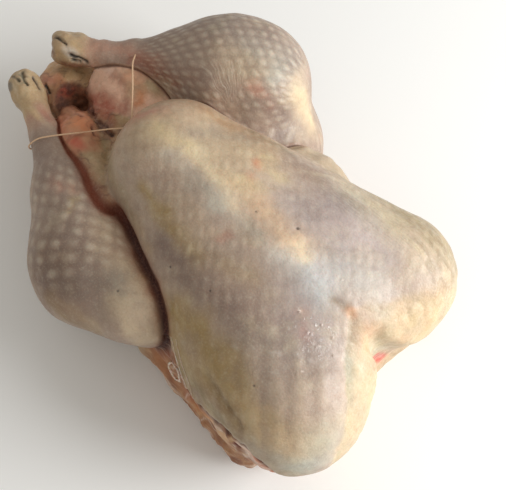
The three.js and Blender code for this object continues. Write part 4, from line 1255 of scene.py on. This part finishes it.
def skin_material():
    m = Nodes("turkey_skin")
    tint = m.attribute("tint", "Color")
    wet, raw, grain = (m.attribute(name) for name in ("wet", "raw", "grain"))
    spot, between = pit_cells(m)
    broad, mid, fine = m.noise(48.0, 4.0), m.noise(170.0, 4.0), m.noise(650.0, 3.0)
    lines = m.noise(0.62, 3.0, 0.6, at=m.attribute("fine_lines", "Vector"))
    colour = m.mixed_in(tint, (
        (broad, 0.46, 0.74, 0.22, (128, 110, 106)), (broad, 0.48, 0.26, 0.22, (220, 204, 170)),
        (mid, 0.48, 0.74, 0.20, (134, 110, 96)), (mid, 0.44, 0.24, 0.16, (222, 212, 190))))
    colour = m.mix(m.times(between, 0.22), colour, rgba((104, 86, 78)))
    colour = m.mix(m.times(spot, 0.36), colour, rgba((218, 204, 182)))
    # Fine lines: pleats, wrinkles and meat fibres.
    colour = m.mix(m.times(m.ramp(lines, 0.50, 0.70, 0.0, 0.55), grain), colour, rgba((226, 214, 194)))
    colour = m.mix(m.times(m.ramp(lines, 0.48, 0.30, 0.0, 0.45), grain), colour, rgba((112, 84, 66)))
    colour = m.mixed_in(colour, (
        (fine, 0.50, 0.72, 0.12, (226, 214, 190)), (fine, 0.48, 0.28, 0.14, (112, 88, 72))))
    meat = m.mixed_in(tint, ((fine, 0.4, 0.7, 0.25, (150, 100, 78)),))
    meat = m.mix(m.times(m.ramp(lines, 0.52, 0.70, 0.0, 0.36), grain), meat, rgba((226, 200, 172)))
    rough = m.math("SUBTRACT", m.ramp(mid, 0.3, 0.7, 0.40, 0.54), m.times(wet, 0.16))
    height = m.math("ADD", m.times(spot, 0.50), m.times(mid, 0.42))
    height = m.math("ADD", height, m.times(fine, 0.14))
    height = m.math("ADD", height, m.times(m.times(lines, grain), 0.55))
    m.surface(
        base_color=m.mix(raw, colour, meat), roughness=m.math("ADD", rough, m.times(raw, 0.22), clamp=True),
        normal=m.bump(height, 0.85, 0.0014), specular_ior_level=0.36,
        coat_weight=m.times(m.ramp(mid, 0.46, 0.62), m.ramp(wet, 0.2, 0.9)), coat_roughness=0.10,
        coat_normal=m.bump(m.noise(300.0, 2.0), 1.0, 0.0022),
        subsurface_weight=0.15, subsurface_scale=0.004, subsurface_radius=(1.0, 0.42, 0.28))
    return m.material


def string_material():
    m = Nodes("kitchen_string")
    fibres, dirt = m.noise(2200.0, 3.0, 0.7), m.noise(60.0, 2.0)
    colour = m.mix(m.ramp(fibres, 0.35, 0.7), rgba((214, 172, 136)), rgba((238, 210, 178)))
    m.surface(
        base_color=m.mixed_in(colour, ((dirt, 0.5, 0.75, 0.4, (170, 112, 82)),)),
        roughness=m.ramp(fibres, 0.3, 0.7, 0.75, 0.95), normal=m.bump(fibres, 0.6, 0.0002),
        specular_ior_level=0.25)
    return m.material


def sinew_material():
    m = Nodes("sinew")
    grain = m.noise(500.0, 3.0)
    m.surface(
        base_color=m.mix(m.ramp(grain, 0.35, 0.7), rgba((226, 214, 200)), rgba((196, 164, 138))),
        roughness=m.ramp(grain, 0.3, 0.7, 0.3, 0.45), normal=m.bump(grain, 0.4, 0.0003),
        subsurface_weight=0.2, subsurface_scale=0.002)
    return m.material


# ---- String and sinews ----
def frames_along(path, closed):
    """Turning-free directions across a path."""
    ahead = np.roll(path, -1, 0) - np.roll(path, 1, 0)
    if not closed:
        ahead[0], ahead[-1] = path[1] - path[0], path[-1] - path[-2]
    ahead /= length(ahead)[:, None]
    side = np.cross(ahead[0], (0.3, 0.2, 1.0))
    sides = []
    for d in ahead:
        side = side - d * (side @ d)
        side /= np.linalg.norm(side)
        sides.append(side)
    sides = np.array(sides)
    return ahead, sides, np.cross(ahead, sides)


def tube(path, radius, sides, closed):
    """A tube along a path. radius(angle, share along) gives its section."""
    ahead, u, v = frames_along(path, closed)
    twist, n, points = 0.0, len(path), []
    if closed:  # spreads the leftover turn along the loop
        last = u[-1] - ahead[0] * (u[-1] @ ahead[0])
        twist = math.atan2(last @ v[0], last @ u[0])
    for i, j in itertools.product(range(n), range(sides)):
        angle = 2 * math.pi * j / sides
        turn = angle - twist * i / n
        points.append(path[i] + (u[i] * math.cos(turn) + v[i] * math.sin(turn)) * radius(angle, i / n))
    faces = []
    for i, j in itertools.product(range(n if closed else n - 1), range(sides)):
        k, m = (j + 1) % sides, (i + 1) % n
        faces.append((i * sides + k, m * sides + k, m * sides + j, i * sides + j))
    if not closed:
        faces.append(tuple(range(sides)))
        faces.append(tuple((n - 1) * sides + j for j in range(sides))[::-1])
    return points, faces


def resample(path, count, closed):
    line = np.array(path, float)
    return spaced(closed_curve(line, len(line) * 12) if closed else line, count, closed)


def build_string():
    def radius(angle, along):
        lobe = abs(math.cos(0.5 * STRING_PLIES * (angle - 2 * math.pi * STRING_TURNS * along)))
        return STRING_RADIUS * (0.76 + 0.20 * lobe)
    points, faces = tube(resample(STRING_PATH, STRING_RINGS, True), radius, STRING_SIDES, True)
    obj = new_piece(mesh_of("kitchen_string", points, faces), string_material())
    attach(obj, "root")
    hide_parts("string")


def build_sinews():
    for i, (radius, ring, line) in enumerate(SINEWS):
        path = onto(bird_field, resample(line, SINEW_RINGS, ring))
        lift = relief(path, zones(path)) + radius * 0.5
        for _ in range(6):  # a sinew bridges the dips below it
            around = (np.roll(lift, 1) + np.roll(lift, -1)) / 2
            if not ring:
                around[0], around[-1] = lift[0], lift[-1]
            lift = np.maximum(lift, around)
        thick = radius * (1 + 0.2 * noise(path, 4, 71 + i))
        if not ring:
            thick = thick * (0.35 + 0.65 * np.sin(np.linspace(0.15, math.pi - 0.15, len(path))))
        path = path + outward(flesh, path) * lift[:, None]
        points, faces = tube(path, lambda _, along: thick[round(along * SINEW_RINGS)], SINEW_SIDES, ring)
        obj = new_piece(mesh_of(f"sinew_{i + 1}", points, faces), sinew_material())
        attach(obj, "root")


# ---- Stage ----
def build_floor():
    line, row = np.linspace(-FLOOR_HALF, FLOOR_HALF, FLOOR_CELLS + 1), FLOOR_CELLS + 1
    points = [(x, y, 0) for x in line for y in line]
    corners = ((i * row + j) for i in range(FLOOR_CELLS) for j in range(FLOOR_CELLS))
    m = Nodes("floor")
    m.surface(base_color=FLOOR_COLOUR, roughness=0.9)
    mesh = mesh_of("floor", points, [(c, c + row, c + row + 1, c + 1) for c in corners])
    mesh.materials.append(m.material)
    obj = new_object("floor", mesh)
    obj.location.z = -FLOOR_DROP * MM


def build_lights():
    light = bpy.data.lights.new("key", "AREA")
    light.shape, light.size, light.energy, light.color = "DISK", KEY_SIZE * MM, KEY_WATTS, KEY_COLOUR
    obj = new_object("key", light)
    obj.location = Vector(KEY_PLACE) * MM
    obj.rotation_euler = (Vector(KEY_TARGET) - Vector(KEY_PLACE)).to_track_quat("-Z", "Y").to_euler()
    world = bpy.data.worlds.new("world")
    world.use_nodes = True
    sky = world.node_tree.nodes["Background"].inputs
    sky["Color"].default_value, sky["Strength"].default_value = SKY_COLOUR, SKY_STRENGTH
    bpy.context.scene.world = world


def build_camera():
    az, el = math.radians(CAMERA_AZIMUTH), math.radians(CAMERA_HEIGHT)
    backwards = Vector((math.sin(az) * math.cos(el), -math.cos(az) * math.cos(el), math.sin(el)))
    camera = bpy.data.cameras.new("camera")
    camera.sensor_width = SENSOR
    camera.lens = SENSOR * CAMERA_DISTANCE / (IMAGE_WIDTH * MM_PER_PIXEL)
    camera.clip_start, camera.clip_end = 0.05, 20
    obj = new_object("camera", camera)
    right = Vector((math.cos(az), math.sin(az), 0))
    turn = Matrix((right, backwards.cross(right), backwards)).transposed().to_4x4()
    place = Vector(CAMERA_TARGET) + backwards * CAMERA_DISTANCE
    obj.matrix_world = Matrix.Translation(place * MM) @ turn
    bpy.context.scene.camera = obj


build_camera()
build_lights()
build_floor()
build_bird()
build_string()
build_sinews()
bpy.context.scene.view_settings.view_transform = "Standard"
